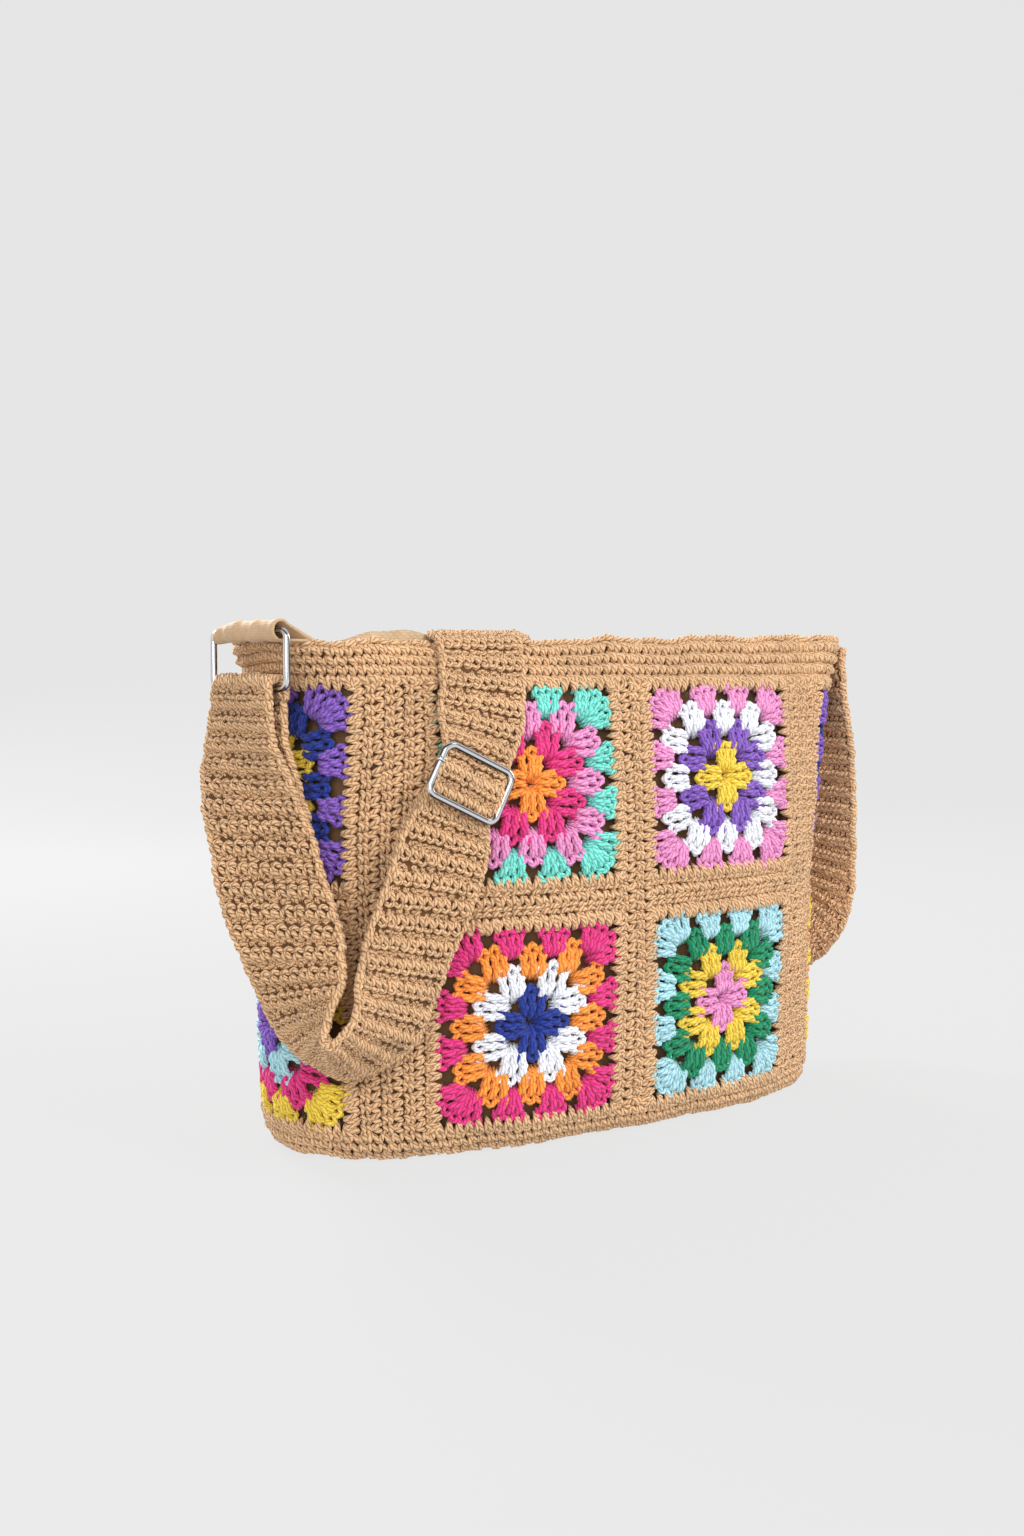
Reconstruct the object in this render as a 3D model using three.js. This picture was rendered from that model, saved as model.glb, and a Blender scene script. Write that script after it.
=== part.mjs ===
// Crossbody bag of granny squares: twelve crocheted squares set in a frame of plain
// crocheted strips on an oval base, with a rim band, a cotton lining, and a wide
// crocheted strap that loops through a ring and a slide buckle.
// Millimetres, +X along the front, +Y to the back, +Z up, origin at the middle of the base.
import * as THREE from 'three';

// crocheted pieces, as widths and heights on the fabric
const SQUARE = 95;
const SQUARE_HEIGHT = 92.5;
const CENTRE_STRIP = 18;
const CORNER_STRIP = 37;
const TIER_STRIP = 17;
const BASE_BAND = 14;
const RIM_BAND = 19.5;
const RIM_SLOPE = 3.5;
const WALL = 4;
// gaps worked into a granny square
const SQUARE_GAP = 5.5;
const GAP_SPACING = 26;
// cotton lining
const LINING = 1;
const LINING_ROOM = 1.6;
const LINING_BELOW_RIM = 2.5;
// strap
const STRAP_WIDTH = 40.5;
const STRAP_THICKNESS = 4.6;
// wire hardware and the cotton tab that holds the ring
const WIRE = 3.2;
const RING_WIDTH = 54;
const RING_HEIGHT = 25.5;
const RING_STAND = 7.5;
const RING_ABOVE_RIM = 6.5;
const RING_TO_FRONT = 9.5;
const SLIDE_HEIGHT = 24;
const TAB_WIDTH = 43;
const TAB_THICKNESS = 1.6;
const TAB_ROOM = 2;
const TAB_INSIDE = 16;
const TAB_BELOW_RIM = 5;
// from the gathered strap's edge to the middle of the slide buckle's wire
const SLIDE_ROOM = 2.2175;
// clearance between two pieces that lie against each other
const SEAT = 0.3;
// how far the ring is turned from the gusset toward the front, in degrees
const ringTurn = 10.7;

const FRONT = CENTRE_STRIP + 2 * SQUARE + CORNER_STRIP;
const GUSSET = SQUARE + CORNER_STRIP;
const GIRTH = 2 * (FRONT + GUSSET);
const HEIGHT = BASE_BAND + 2 * SQUARE_HEIGHT + TIER_STRIP + RIM_BAND;

// Plan sections of the soft wall: height as a share of HEIGHT, then end to end,
// front to back and the shift along X as shares of GIRTH, then how square the ends
// and the sides are (2 is an ellipse, more is nearer a rectangle).
const SECTIONS = [
  [0.000, 0.3825, 0.1395, 0.000, 2.9, 2.8],
  [0.020, 0.3970, 0.1665, 0.000, 2.7, 2.5],
  [0.060, 0.4050, 0.1840, 0.000, 2.5, 2.3],
  [0.250, 0.4110, 0.1910, 0.000, 2.4, 2.2],
  [0.480, 0.4050, 0.1935, 0.000, 2.5, 2.5],
  [0.710, 0.4030, 0.1850, 0.001, 2.7, 2.9],
  [0.900, 0.4120, 0.1650, 0.003, 2.9, 3.2],
  [1.000, 0.4360, 0.1410, 0.005, 3.0, 3.5],
];

const crochetTan = { color: 0xc79a62, roughness: 0.92, metalness: 0 };
const liningTan = { color: 0xb98f5e, roughness: 0.85, metalness: 0 };
const chromeWire = { color: 0xd8dadd, roughness: 0.16, metalness: 1 };

const bag = new THREE.Group();

function addPiece(name, geometry, look) {
  const mesh = new THREE.Mesh(geometry, new THREE.MeshStandardMaterial(look));
  mesh.name = name;
  bag.add(mesh);
  return mesh;
}

function solid(points, triangles) {
  const geometry = new THREE.BufferGeometry();
  const places = points.flatMap((p) => [p.x, p.y, p.z]);
  geometry.setAttribute('position', new THREE.Float32BufferAttribute(places, 3));
  geometry.setIndex(triangles);
  geometry.computeVertexNormals();
  return geometry;
}

// Smooth value of one column of SECTIONS: a cubic through the rows, with each row's
// slope taken from its neighbours.
function sectionValue(up, column) {
  const rows = SECTIONS;
  let k = 0;
  while (k < rows.length - 2 && up > rows[k + 1][0]) k += 1;
  const slope = (i) => {
    const a = rows[Math.max(i - 1, 0)];
    const b = rows[Math.min(i + 1, rows.length - 1)];
    return (b[column] - a[column]) / (b[0] - a[0]);
  };
  const span = rows[k + 1][0] - rows[k][0];
  const s = (up - rows[k][0]) / span;
  const h00 = (1 + 2 * s) * (1 - s) ** 2;
  const h10 = s * (1 - s) ** 2;
  const h01 = s * s * (3 - 2 * s);
  const h11 = s * s * (s - 1);
  return h00 * rows[k][column] + h10 * span * slope(k)
    + h01 * rows[k + 1][column] + h11 * span * slope(k + 1);
}

// The closed plan outline at one height, from the middle of the left gusset round
// by the front, with the length run so far at each point.
const outlines = new Map();
function outlineAt(height) {
  const key = height.toFixed(4);
  if (outlines.has(key)) return outlines.get(key);
  const up = THREE.MathUtils.clamp(height / HEIGHT, 0, 1);
  const halfLength = sectionValue(up, 1) * GIRTH / 2;
  const halfDepth = sectionValue(up, 2) * GIRTH / 2;
  const shift = sectionValue(up, 3) * GIRTH;
  const endPower = 2 / sectionValue(up, 4);
  const sidePower = 2 / sectionValue(up, 5);
  const count = 720;
  const points = [];
  const runs = [0];
  for (let i = 0; i <= count; i += 1) {
    const turn = 2 * Math.PI * i / count;
    const c = -Math.cos(turn);
    const s = -Math.sin(turn);
    const x = shift + halfLength * Math.sign(c) * Math.abs(c) ** endPower;
    const y = halfDepth * Math.sign(s) * Math.abs(s) ** sidePower;
    points.push(new THREE.Vector2(x, y));
    if (i > 0) runs.push(runs[i - 1] + points[i].distanceTo(points[i - 1]));
  }
  const outline = { points, runs, girth: runs[count] };
  outlines.set(key, outline);
  return outline;
}

function outlinePoint(outline, around) {
  const run = (((around % 1) + 1) % 1) * outline.girth;
  let low = 0;
  let high = outline.runs.length - 1;
  while (high - low > 1) {
    const middle = (low + high) >> 1;
    if (outline.runs[middle] <= run) low = middle; else high = middle;
  }
  const share = (run - outline.runs[low]) / (outline.runs[high] - outline.runs[low]);
  return outline.points[low].clone().lerp(outline.points[high], share);
}

// The rim dips to the left end and rises to the right one, and the wall with it.
function rimRise(around, height) {
  const inBand = THREE.MathUtils.clamp((height - (HEIGHT - RIM_BAND)) / RIM_BAND, 0, 1);
  return -RIM_SLOPE * inBand * Math.cos(2 * Math.PI * around);
}

// A point of the wall with its own directions: along the girth, and straight out.
function wallFrame(around, height) {
  const outline = outlineAt(height);
  const place = outlinePoint(outline, around);
  const before = outlinePoint(outline, around - 0.002);
  const after = outlinePoint(outline, around + 0.002);
  const along = new THREE.Vector3(after.x - before.x, after.y - before.y, 0).normalize();
  const out = new THREE.Vector3(along.y, -along.x, 0);
  const rise = height + rimRise(around, height);
  return { place: new THREE.Vector3(place.x, place.y, rise), along, out };
}

function wallPoint(around, height, stand) {
  const frame = wallFrame(around, height);
  return frame.place.addScaledVector(frame.out, stand);
}

// A curved panel of the wall between grid lines around and up; cells that isOpen
// names are left out, and every edge gets its side.
function panel(arounds, heights, isOpen = () => false) {
  const columns = arounds.length - 1;
  const rows = heights.length - 1;
  const perSkin = arounds.length * heights.length;
  const points = [];
  for (const stand of [0, -WALL]) {
    for (const around of arounds) {
      for (const height of heights) points.push(wallPoint(around, height, stand));
    }
  }
  const outer = (i, j) => i * heights.length + j;
  const inner = (i, j) => perSkin + outer(i, j);
  const full = (i, j) => i >= 0 && j >= 0 && i < columns && j < rows && !isOpen(i, j);
  const triangles = [];
  const quad = (a, b, c, d) => triangles.push(a, b, c, a, c, d);
  for (let i = 0; i < columns; i += 1) {
    for (let j = 0; j < rows; j += 1) {
      if (!full(i, j)) continue;
      quad(outer(i, j), outer(i + 1, j), outer(i + 1, j + 1), outer(i, j + 1));
      quad(inner(i, j), inner(i, j + 1), inner(i + 1, j + 1), inner(i + 1, j));
      if (!full(i - 1, j)) quad(outer(i, j), outer(i, j + 1), inner(i, j + 1), inner(i, j));
      if (!full(i + 1, j)) {
        quad(outer(i + 1, j), inner(i + 1, j), inner(i + 1, j + 1), outer(i + 1, j + 1));
      }
      if (!full(i, j - 1)) quad(outer(i, j), inner(i, j), inner(i + 1, j), outer(i + 1, j));
      if (!full(i, j + 1)) {
        quad(outer(i, j + 1), outer(i + 1, j + 1), inner(i + 1, j + 1), inner(i, j + 1));
      }
    }
  }
  return solid(points, triangles);
}

// Columns of the pieces that go all the way round.
const ROUND = 60;
const LINING_ROUND = 44;

// A piece that goes all the way round: a profile of [stand, height] pairs, listed up
// the outside and down the inside. A bowl also closes to a middle point at each end.
function hoop(profile, columns, isBowl) {
  const points = [];
  for (let i = 0; i < columns; i += 1) {
    for (const [stand, height] of profile) points.push(wallPoint(i / columns, height, stand));
  }
  const count = profile.length;
  const at = (i, j) => (i % columns) * count + (j % count);
  const triangles = [];
  const last = isBowl ? count - 1 : count;
  for (let i = 0; i < columns; i += 1) {
    for (let j = 0; j < last; j += 1) {
      triangles.push(at(i, j), at(i + 1, j), at(i + 1, j + 1));
      triangles.push(at(i, j), at(i + 1, j + 1), at(i, j + 1));
    }
  }
  if (isBowl) {
    const under = points.length;
    points.push(new THREE.Vector3(0, 0, profile[0][1]));
    points.push(new THREE.Vector3(0, 0, profile[count - 1][1]));
    for (let i = 0; i < columns; i += 1) {
      triangles.push(under, at(i + 1, 0), at(i, 0));
      triangles.push(under + 1, at(i, count - 1), at(i + 1, count - 1));
    }
  }
  return solid(points, triangles);
}

function evenly(from, to, parts) {
  return Array.from({ length: parts + 1 }, (_, i) => from + (to - from) * i / parts);
}

// Heights of the two tiers of squares, each shrunk by half a seat at both edges.
const TIERS = [BASE_BAND, BASE_BAND + SQUARE_HEIGHT + TIER_STRIP];
const squareSteps = (size) => [
  SEAT / 2,
  size / 2 - GAP_SPACING - SQUARE_GAP / 2,
  size / 2 - GAP_SPACING + SQUARE_GAP / 2,
  size / 2 - SQUARE_GAP / 2,
  size / 2 + SQUARE_GAP / 2,
  size / 2 + GAP_SPACING - SQUARE_GAP / 2,
  size / 2 + GAP_SPACING + SQUARE_GAP / 2,
  size - SEAT / 2,
];
const tierHeights = TIERS.map((low) => squareSteps(SQUARE_HEIGHT).map((step) => low + step));
const stripHeights = [
  BASE_BAND + SEAT / 2,
  ...tierHeights[0].slice(1),
  ...tierHeights[1].slice(0, -1),
  HEIGHT - RIM_BAND - SEAT / 2,
];
const toShare = (length) => length / GIRTH;

// Where each square starts on the girth, from the middle of the left gusset, with
// the colour of its outermost round on the lower and the upper tier.
const COLUMNS = [
  { name: 'left', start: -SQUARE / 2, colours: [0xe8c12f, 0x7d4fb5] },
  { name: 'front_left', start: SQUARE / 2 + CORNER_STRIP, colours: [0xdd2f77, 0x6fd3c4] },
  {
    name: 'front_right',
    start: SQUARE / 2 + CORNER_STRIP + SQUARE + CENTRE_STRIP,
    colours: [0x9fd3dc, 0xe184bd],
  },
  { name: 'right', start: GIRTH / 2 - SQUARE / 2, colours: [0xe8c12f, 0x7d4fb5] },
  {
    name: 'back_right',
    start: GIRTH / 2 + SQUARE / 2 + CORNER_STRIP,
    colours: [0xdd2f77, 0x6fd3c4],
  },
  {
    name: 'back_left',
    start: GIRTH / 2 + SQUARE / 2 + CORNER_STRIP + SQUARE + CENTRE_STRIP,
    colours: [0x9fd3dc, 0xe184bd],
  },
];
const isSquareGap = (i, j) => i % 2 === 1 && j % 2 === 1 && !(i === 3 && j === 3);

function addSquares() {
  for (const column of COLUMNS) {
    const arounds = squareSteps(SQUARE).map((step) => toShare(column.start + step));
    ['lower', 'upper'].forEach((tier, k) => {
      const look = { color: column.colours[k], roughness: 0.92, metalness: 0 };
      const shape = panel(arounds, tierHeights[k], isSquareGap);
      addPiece(`square_${column.name}_${tier}`, shape, look);
    });
  }
}

// Upright strips stand between the squares, and short strips part the two tiers.
function addStrips() {
  const half = SEAT / 2;
  COLUMNS.forEach((column, k) => {
    const end = column.start + SQUARE;
    const next = k + 1 < COLUMNS.length ? COLUMNS[k + 1].start : COLUMNS[0].start + GIRTH;
    const isCorner = next - end > (CORNER_STRIP + CENTRE_STRIP) / 2;
    const parts = isCorner ? 4 : 2;
    const arounds = evenly(toShare(end + half), toShare(next - half), parts);
    addPiece(`upright_strip_after_${column.name}`, panel(arounds, stripHeights), crochetTan);
    const across = evenly(toShare(column.start + half), toShare(end - half), 6);
    const heights = [TIERS[0] + SQUARE_HEIGHT + half, TIERS[1] - half];
    addPiece(`tier_strip_${column.name}`, panel(across, heights), crochetTan);
  });
}

function addBase() {
  const top = BASE_BAND - SEAT / 2;
  const profile = [
    [0, 0],
    [0, HEIGHT * SECTIONS[1][0]],
    [0, top],
    [-WALL, top],
    [-WALL, WALL + HEIGHT * SECTIONS[1][0]],
    [-WALL, WALL],
  ];
  addPiece('base', hoop(profile, ROUND, true), crochetTan);
}

function addRimBand() {
  const low = HEIGHT - RIM_BAND + SEAT / 2;
  const middle = HEIGHT - RIM_BAND / 2;
  const profile = [
    [0, low], [0, middle], [0, HEIGHT], [-WALL, HEIGHT], [-WALL, middle], [-WALL, low],
  ];
  addPiece('rim_band', hoop(profile, ROUND, false), crochetTan);
}

function addLining() {
  const outside = -(WALL + LINING_ROOM);
  const inside = outside - LINING;
  const floor = WALL + SEAT;
  const top = HEIGHT - LINING_BELOW_RIM;
  const levels = [0.05, 0.12, 0.27, 0.45, 0.62, 0.78, 0.86, 0.93].map((share) => HEIGHT * share);
  const profile = [
    [outside, floor],
    ...levels.map((height) => [outside, height]),
    [outside, top],
    [inside, top],
    ...levels.map((height) => [inside, height]).reverse(),
    [inside, floor + LINING],
  ];
  addPiece('lining', hoop(profile, LINING_ROUND, true), liningTan);
}

// How far the middle of a strap layer stands off the wall: 0.5 lies on the wall,
// 1.5 lies on one other layer, and more hangs clear.
function layerStand(layers) {
  return layers * STRAP_THICKNESS + (layers + 0.5) * SEAT;
}

// The strap's route. Each row on the wall: share of GIRTH, share of HEIGHT, layers off
// the wall, then the direction across the strap as parts along, up and out.
const RIGHT_HANG = [
  [0.480, 0.985, 0.5, 1.00, 0.00, 0.00],
  [0.480, 0.950, 1.1, 1.00, 0.00, 0.00],
  [0.481, 0.880, 2.6, 1.00, 0.00, 0.00],
  [0.484, 0.775, 4.4, 1.00, 0.00, 0.00],
  [0.488, 0.655, 5.7, 1.00, 0.00, 0.00],
  [0.492, 0.530, 6.5, 1.00, 0.05, 0.05],
  [0.497, 0.425, 7.3, 0.97, 0.10, 0.15],
  [0.506, 0.330, 7.8, 0.85, 0.22, 0.40],
  [0.522, 0.252, 7.2, 0.55, 0.40, 0.68],
  [0.549, 0.218, 6.2, 0.00, 0.52, 0.85],
];
const BACK_RUN = [
  [0.549, 0.218, 6.2, 0.00, 0.52, 0.85],
  [0.574, 0.255, 5.1, -0.55, 0.50, 0.65],
  [0.595, 0.330, 3.5, -0.76, 0.55, 0.30],
  [0.614, 0.425, 2.0, -0.80, 0.58, 0.08],
  [0.640, 0.548, 0.9, -0.80, 0.58, 0.00],
  [0.672, 0.672, 0.8, -0.83, 0.52, 0.00],
  [0.704, 0.793, 0.9, -0.90, 0.38, 0.00],
  [0.735, 0.902, 0.9, -0.97, 0.20, 0.00],
  [0.752, 0.955, 0.8, -1.00, 0.00, 0.00],
];
// A seventh value is how wide the strap is there, where the slide buckle gathers it.
const FRONT_RUN = [
  [0.1475, 0.975, 0.6, 1.00, 0.00, 0.00],
  [0.1445, 0.905, 0.6, 1.00, -0.10, 0.00],
  [0.1410, 0.840, 0.8, 0.97, -0.24, 0.00],
  [0.1362, 0.780, 1.5, 0.92, -0.40, 0.00, 0.73],
  [0.1312, 0.745, 2.6, 0.89, -0.45, 0.00, 0.71],
  [0.1277, 0.712, 2.6, 0.89, -0.45, 0.00, 0.71],
  [0.1230, 0.674, 1.7, 0.92, -0.40, 0.00, 0.73],
  [0.1165, 0.605, 1.8, 0.95, -0.28, -0.05],
  [0.1085, 0.523, 2.1, 0.96, -0.18, -0.12],
  [0.0990, 0.441, 2.8, 0.94, -0.16, -0.28],
  [0.0915, 0.361, 3.8, 0.84, -0.24, -0.48],
  [0.0835, 0.274, 4.8, 0.58, -0.40, -0.70],
  [0.0630, 0.227, 5.4, 0.00, -0.52, -0.85],
];
const LEFT_RUN = [
  [0.0630, 0.227, 5.4, 0.00, -0.52, -0.85],
  [0.0510, 0.276, 5.0, -0.66, -0.40, -0.58],
  [0.0470, 0.362, 4.8, -0.94, -0.15, -0.10],
  [0.0420, 0.443, 4.5, -0.96, -0.03, 0.20],
  [0.0355, 0.532, 4.2, -0.90, 0.00, 0.42],
  [0.0306, 0.624, 4.2, -0.88, 0.00, 0.48],
  [0.0265, 0.690, 4.3, -0.89, 0.00, 0.45],
  [0.0210, 0.745, 4.3, -0.93, 0.00, 0.36],
  [0.0150, 0.800, 4.4, -0.96, 0.00, 0.28],
];
// The tail starts just under the slide buckle's bar, this many rows down the front.
const tailStart = FRONT_RUN.length - 8;

function wallRow([around, up, layers, along, rise, out, width = 1]) {
  const frame = wallFrame(around, up * HEIGHT);
  const across = new THREE.Vector3()
    .addScaledVector(frame.along, along)
    .addScaledVector(frame.out, out)
    .setZ(rise)
    .normalize();
  const place = frame.place.addScaledVector(frame.out, layerStand(layers));
  return { place, across, width };
}

// Two rows that carry the strap round the rim's outer edge, and one over its top.
function rimRows(around, side) {
  const reach = layerStand(0.5);
  const frame = wallFrame(around, HEIGHT);
  const apart = 0.01;
  const climb = rimRise(around + apart, HEIGHT) - rimRise(around - apart, HEIGHT);
  const across = frame.along.clone().setZ(climb / (2 * apart * GIRTH)).multiplyScalar(side);
  const steps = [[0.15, 0], [0.85, 0], [Math.PI / 2, -WALL / 2]];
  return steps.map(([turn, inward]) => {
    const place = frame.place.clone()
      .addScaledVector(frame.out, reach * Math.cos(turn) + inward)
      .add(new THREE.Vector3(0, 0, reach * Math.sin(turn)));
    return { place, across, width: 1 };
  });
}

// Round the ring's lower bar: from the outer side, over the top, to the inner side.
const BAR_ROOM = WIRE + 2 * SEAT + STRAP_THICKNESS;
function barRows(bar, across) {
  const reach = BAR_ROOM / 2;
  return [0, 0.25, 0.5, 0.75, 1].map((share) => {
    const turn = share * Math.PI;
    const place = bar.place.clone()
      .addScaledVector(bar.out, reach * Math.cos(turn))
      .setZ(bar.place.z + reach * Math.sin(turn));
    return { place, across, width: 1 };
  });
}

// Stations along a list of rows: a smooth curve through their middles, with the
// direction across the strap turning evenly from row to row.
function stationsAlong(rows, steps) {
  const curve = new THREE.CatmullRomCurve3(rows.map((row) => row.place));
  const count = (rows.length - 1) * steps;
  const stations = [];
  for (let i = 0; i <= count; i += 1) {
    const at = i / steps;
    const k = Math.min(Math.floor(at), rows.length - 2);
    const across = rows[k].across.clone().lerp(rows[k + 1].across, at - k).normalize();
    const width = THREE.MathUtils.lerp(rows[k].width, rows[k + 1].width, at - k);
    const place = curve.getPoint(i / count);
    const forward = curve.getTangent(i / count);
    const face = forward.clone().cross(across);
    const half = width * STRAP_WIDTH / 2 / face.length();
    stations.push({ place, across, forward, face: face.normalize(), half });
  }
  return stations;
}

// A flat band through stations. low is its left edge as a share of half the strap's
// width, drop is how far it sinks, both from the share of the way along, and each end
// stops half a seat short.
function band(stations, low = () => -1, drop = () => 0) {
  const points = [];
  const triangles = [];
  const last = stations.length - 1;
  stations.forEach((station, i) => {
    const ends = (i === 0 ? 1 : 0) - (i === last ? 1 : 0);
    const middle = station.place.clone()
      .addScaledVector(station.forward, ends * SEAT / 2)
      .addScaledVector(station.face, -drop(i / last));
    const edges = [station.half * low(i / last), station.half];
    const corners = [[0, -1], [1, -1], [1, 1], [0, 1]];
    for (const [edge, side] of corners) {
      points.push(middle.clone()
        .addScaledVector(station.across, edges[edge])
        .addScaledVector(station.face, side * STRAP_THICKNESS / 2));
    }
  });
  const at = (i, j) => i * 4 + (j % 4);
  const quad = (a, b, c, d) => triangles.push(a, b, c, a, c, d);
  for (let i = 0; i < last; i += 1) {
    for (const j of [0, 1, 3]) quad(at(i, j), at(i, j + 1), at(i + 1, j + 1), at(i + 1, j));
    quad(at(i, 3), at(i + 1, 3), at(i + 1, 2), at(i, 2));
  }
  triangles.push(0, 2, 1, 0, 3, 2);
  triangles.push(at(last, 0), at(last, 1), at(last, 2), at(last, 0), at(last, 2), at(last, 3));
  return solid(points, triangles);
}

const STEPS = 3;

function addStrap(lowerBar) {
  const right = RIGHT_HANG.map(wallRow);
  const back = BACK_RUN.slice(1).map(wallRow);
  const over = [
    ...rimRows(BACK_RUN[BACK_RUN.length - 1][0] + 0.012, -1),
    ...rimRows(FRONT_RUN[0][0] + 0.0005, 1).reverse(),
  ];
  const front = FRONT_RUN.map(wallRow);
  const underRing = {
    place: lowerBar.place.clone()
      .addScaledVector(lowerBar.out, BAR_ROOM / 2)
      .add(new THREE.Vector3(0, 0, -2 * BAR_ROOM / 3)),
    across: lowerBar.along.clone().negate(),
    width: 1,
  };
  const left = [...LEFT_RUN.slice(1).map(wallRow), underRing];
  const outer = [...right, ...back, ...over, ...front, ...left];
  const top = stationsAlong(outer, STEPS).at(-1);
  const foldEnd = top.place.clone().addScaledVector(top.face, -BAR_ROOM);
  const fold = [
    ...barRows(lowerBar, top.across),
    { place: foldEnd, across: top.across, width: 1 },
  ];
  const stations = stationsAlong([...outer, ...fold], STEPS);

  const ends = [right, back, over, front, left].reduce(
    (rows, part) => [...rows, rows.at(-1) + part.length], [-1],
  );
  const stretch = (from, to) => stations.slice(from * STEPS, to * STEPS + 1);
  const overStart = ends[2];
  const frontStart = ends[3] + 1;
  const loopBottom = ends[4];
  const topRow = ends[5];
  addPiece('strap_right', band(stretch(0, ends[1])), crochetTan);
  addPiece('strap_back', band(stretch(ends[1], overStart)), crochetTan);
  addPiece('strap_over', band(stretch(overStart, frontStart)), crochetTan);
  addPiece('strap_front', band(stretch(frontStart, loopBottom)), crochetTan);
  addPiece('strap_left', band(stretch(loopBottom, outer.length + fold.length - 1)), crochetTan);

  // The strap's tail comes back under its outer layer, from the ring to the slide
  // buckle. It is gathered to part of its width on the inner side of the loop.
  const gathered = (share) => 1 - 1.1 * THREE.MathUtils.smoothstep(share, 0.25, 0.75);
  const layer = STRAP_THICKNESS + SEAT;
  const slack = (share) => layer + 2.5 * SEAT * THREE.MathUtils.smoothstep(share, 0.15, 0.5);
  const toBar = (share) => (BAR_ROOM - layer) * THREE.MathUtils.smoothstep(share, 0.7, 1);
  const tailFront = stretch(frontStart + tailStart, loopBottom);
  addPiece('tail_front', band(tailFront, (s) => -gathered(s), slack), crochetTan);
  const tailLeft = stretch(loopBottom, topRow);
  const sunk = (share) => slack(1 - share) + toBar(share);
  addPiece('tail_left', band(tailLeft, (s) => -gathered(1 - s), sunk), crochetTan);
}

// A closed rectangle of round wire, with rounded corners, in its own XY plane.
function wireRectangle(width, height) {
  const bend = WIRE * 1.3;
  const w = width / 2;
  const h = height / 2;
  const corners = [[w, h, 0], [-w, h, 1], [-w, -h, 2], [w, -h, 3]];
  const places = [];
  for (const [x, y, k] of corners) {
    const centre = new THREE.Vector2(x - Math.sign(x) * bend, y - Math.sign(y) * bend);
    for (let i = 0; i <= 3; i += 1) {
      const turn = (k + i / 3) * Math.PI / 2;
      places.push(new THREE.Vector3(
        centre.x + bend * Math.cos(turn), centre.y + bend * Math.sin(turn), 0,
      ));
    }
  }
  const sides = 8;
  const points = [];
  const triangles = [];
  places.forEach((place, i) => {
    const before = places[(i + places.length - 1) % places.length];
    const after = places[(i + 1) % places.length];
    const forward = after.clone().sub(before).normalize();
    const outward = new THREE.Vector3(forward.y, -forward.x, 0);
    for (let j = 0; j < sides; j += 1) {
      const turn = 2 * Math.PI * j / sides;
      points.push(place.clone()
        .addScaledVector(outward, Math.cos(turn) * WIRE / 2)
        .add(new THREE.Vector3(0, 0, Math.sin(turn) * WIRE / 2)));
    }
  });
  for (let i = 0; i < places.length; i += 1) {
    const n = (i + 1) % places.length;
    for (let j = 0; j < sides; j += 1) {
      const m = (j + 1) % sides;
      triangles.push(i * sides + j, n * sides + j, n * sides + m);
      triangles.push(i * sides + j, n * sides + m, i * sides + m);
    }
  }
  return solid(points, triangles);
}

// A piece made in its own XY plane, turned so that X runs along, Y up and Z out.
function turned(geometry, place, along, out) {
  const up = out.clone().cross(along);
  const turn = new THREE.Matrix4().makeBasis(along, up, out).setPosition(place);
  return geometry.applyMatrix4(turn);
}

// The ring's upper bar stands just outside the rim of the left gusset and a little
// above it. The ring hangs down from there, turned toward the front.
const ringAround = RING_TO_FRONT / GIRTH;
function ringFrame() {
  const rim = wallFrame(ringAround, HEIGHT);
  const upright = new THREE.Vector3(0, 0, 1);
  const turn = THREE.MathUtils.degToRad(ringTurn);
  const along = rim.along.clone().applyAxisAngle(upright, turn);
  const out = rim.out.clone().applyAxisAngle(upright, turn);
  const place = rim.place.clone()
    .addScaledVector(rim.out, RING_STAND)
    .add(new THREE.Vector3(0, 0, RING_ABOVE_RIM));
  return { place, along, out };
}

function addRing() {
  const { place, along, out } = ringFrame();
  const middle = place.clone().setZ(place.z - RING_HEIGHT / 2);
  addPiece('ring', turned(wireRectangle(RING_WIDTH, RING_HEIGHT), middle, along, out), chromeWire);
  return { place: place.clone().setZ(place.z - RING_HEIGHT), along, out };
}

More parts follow.
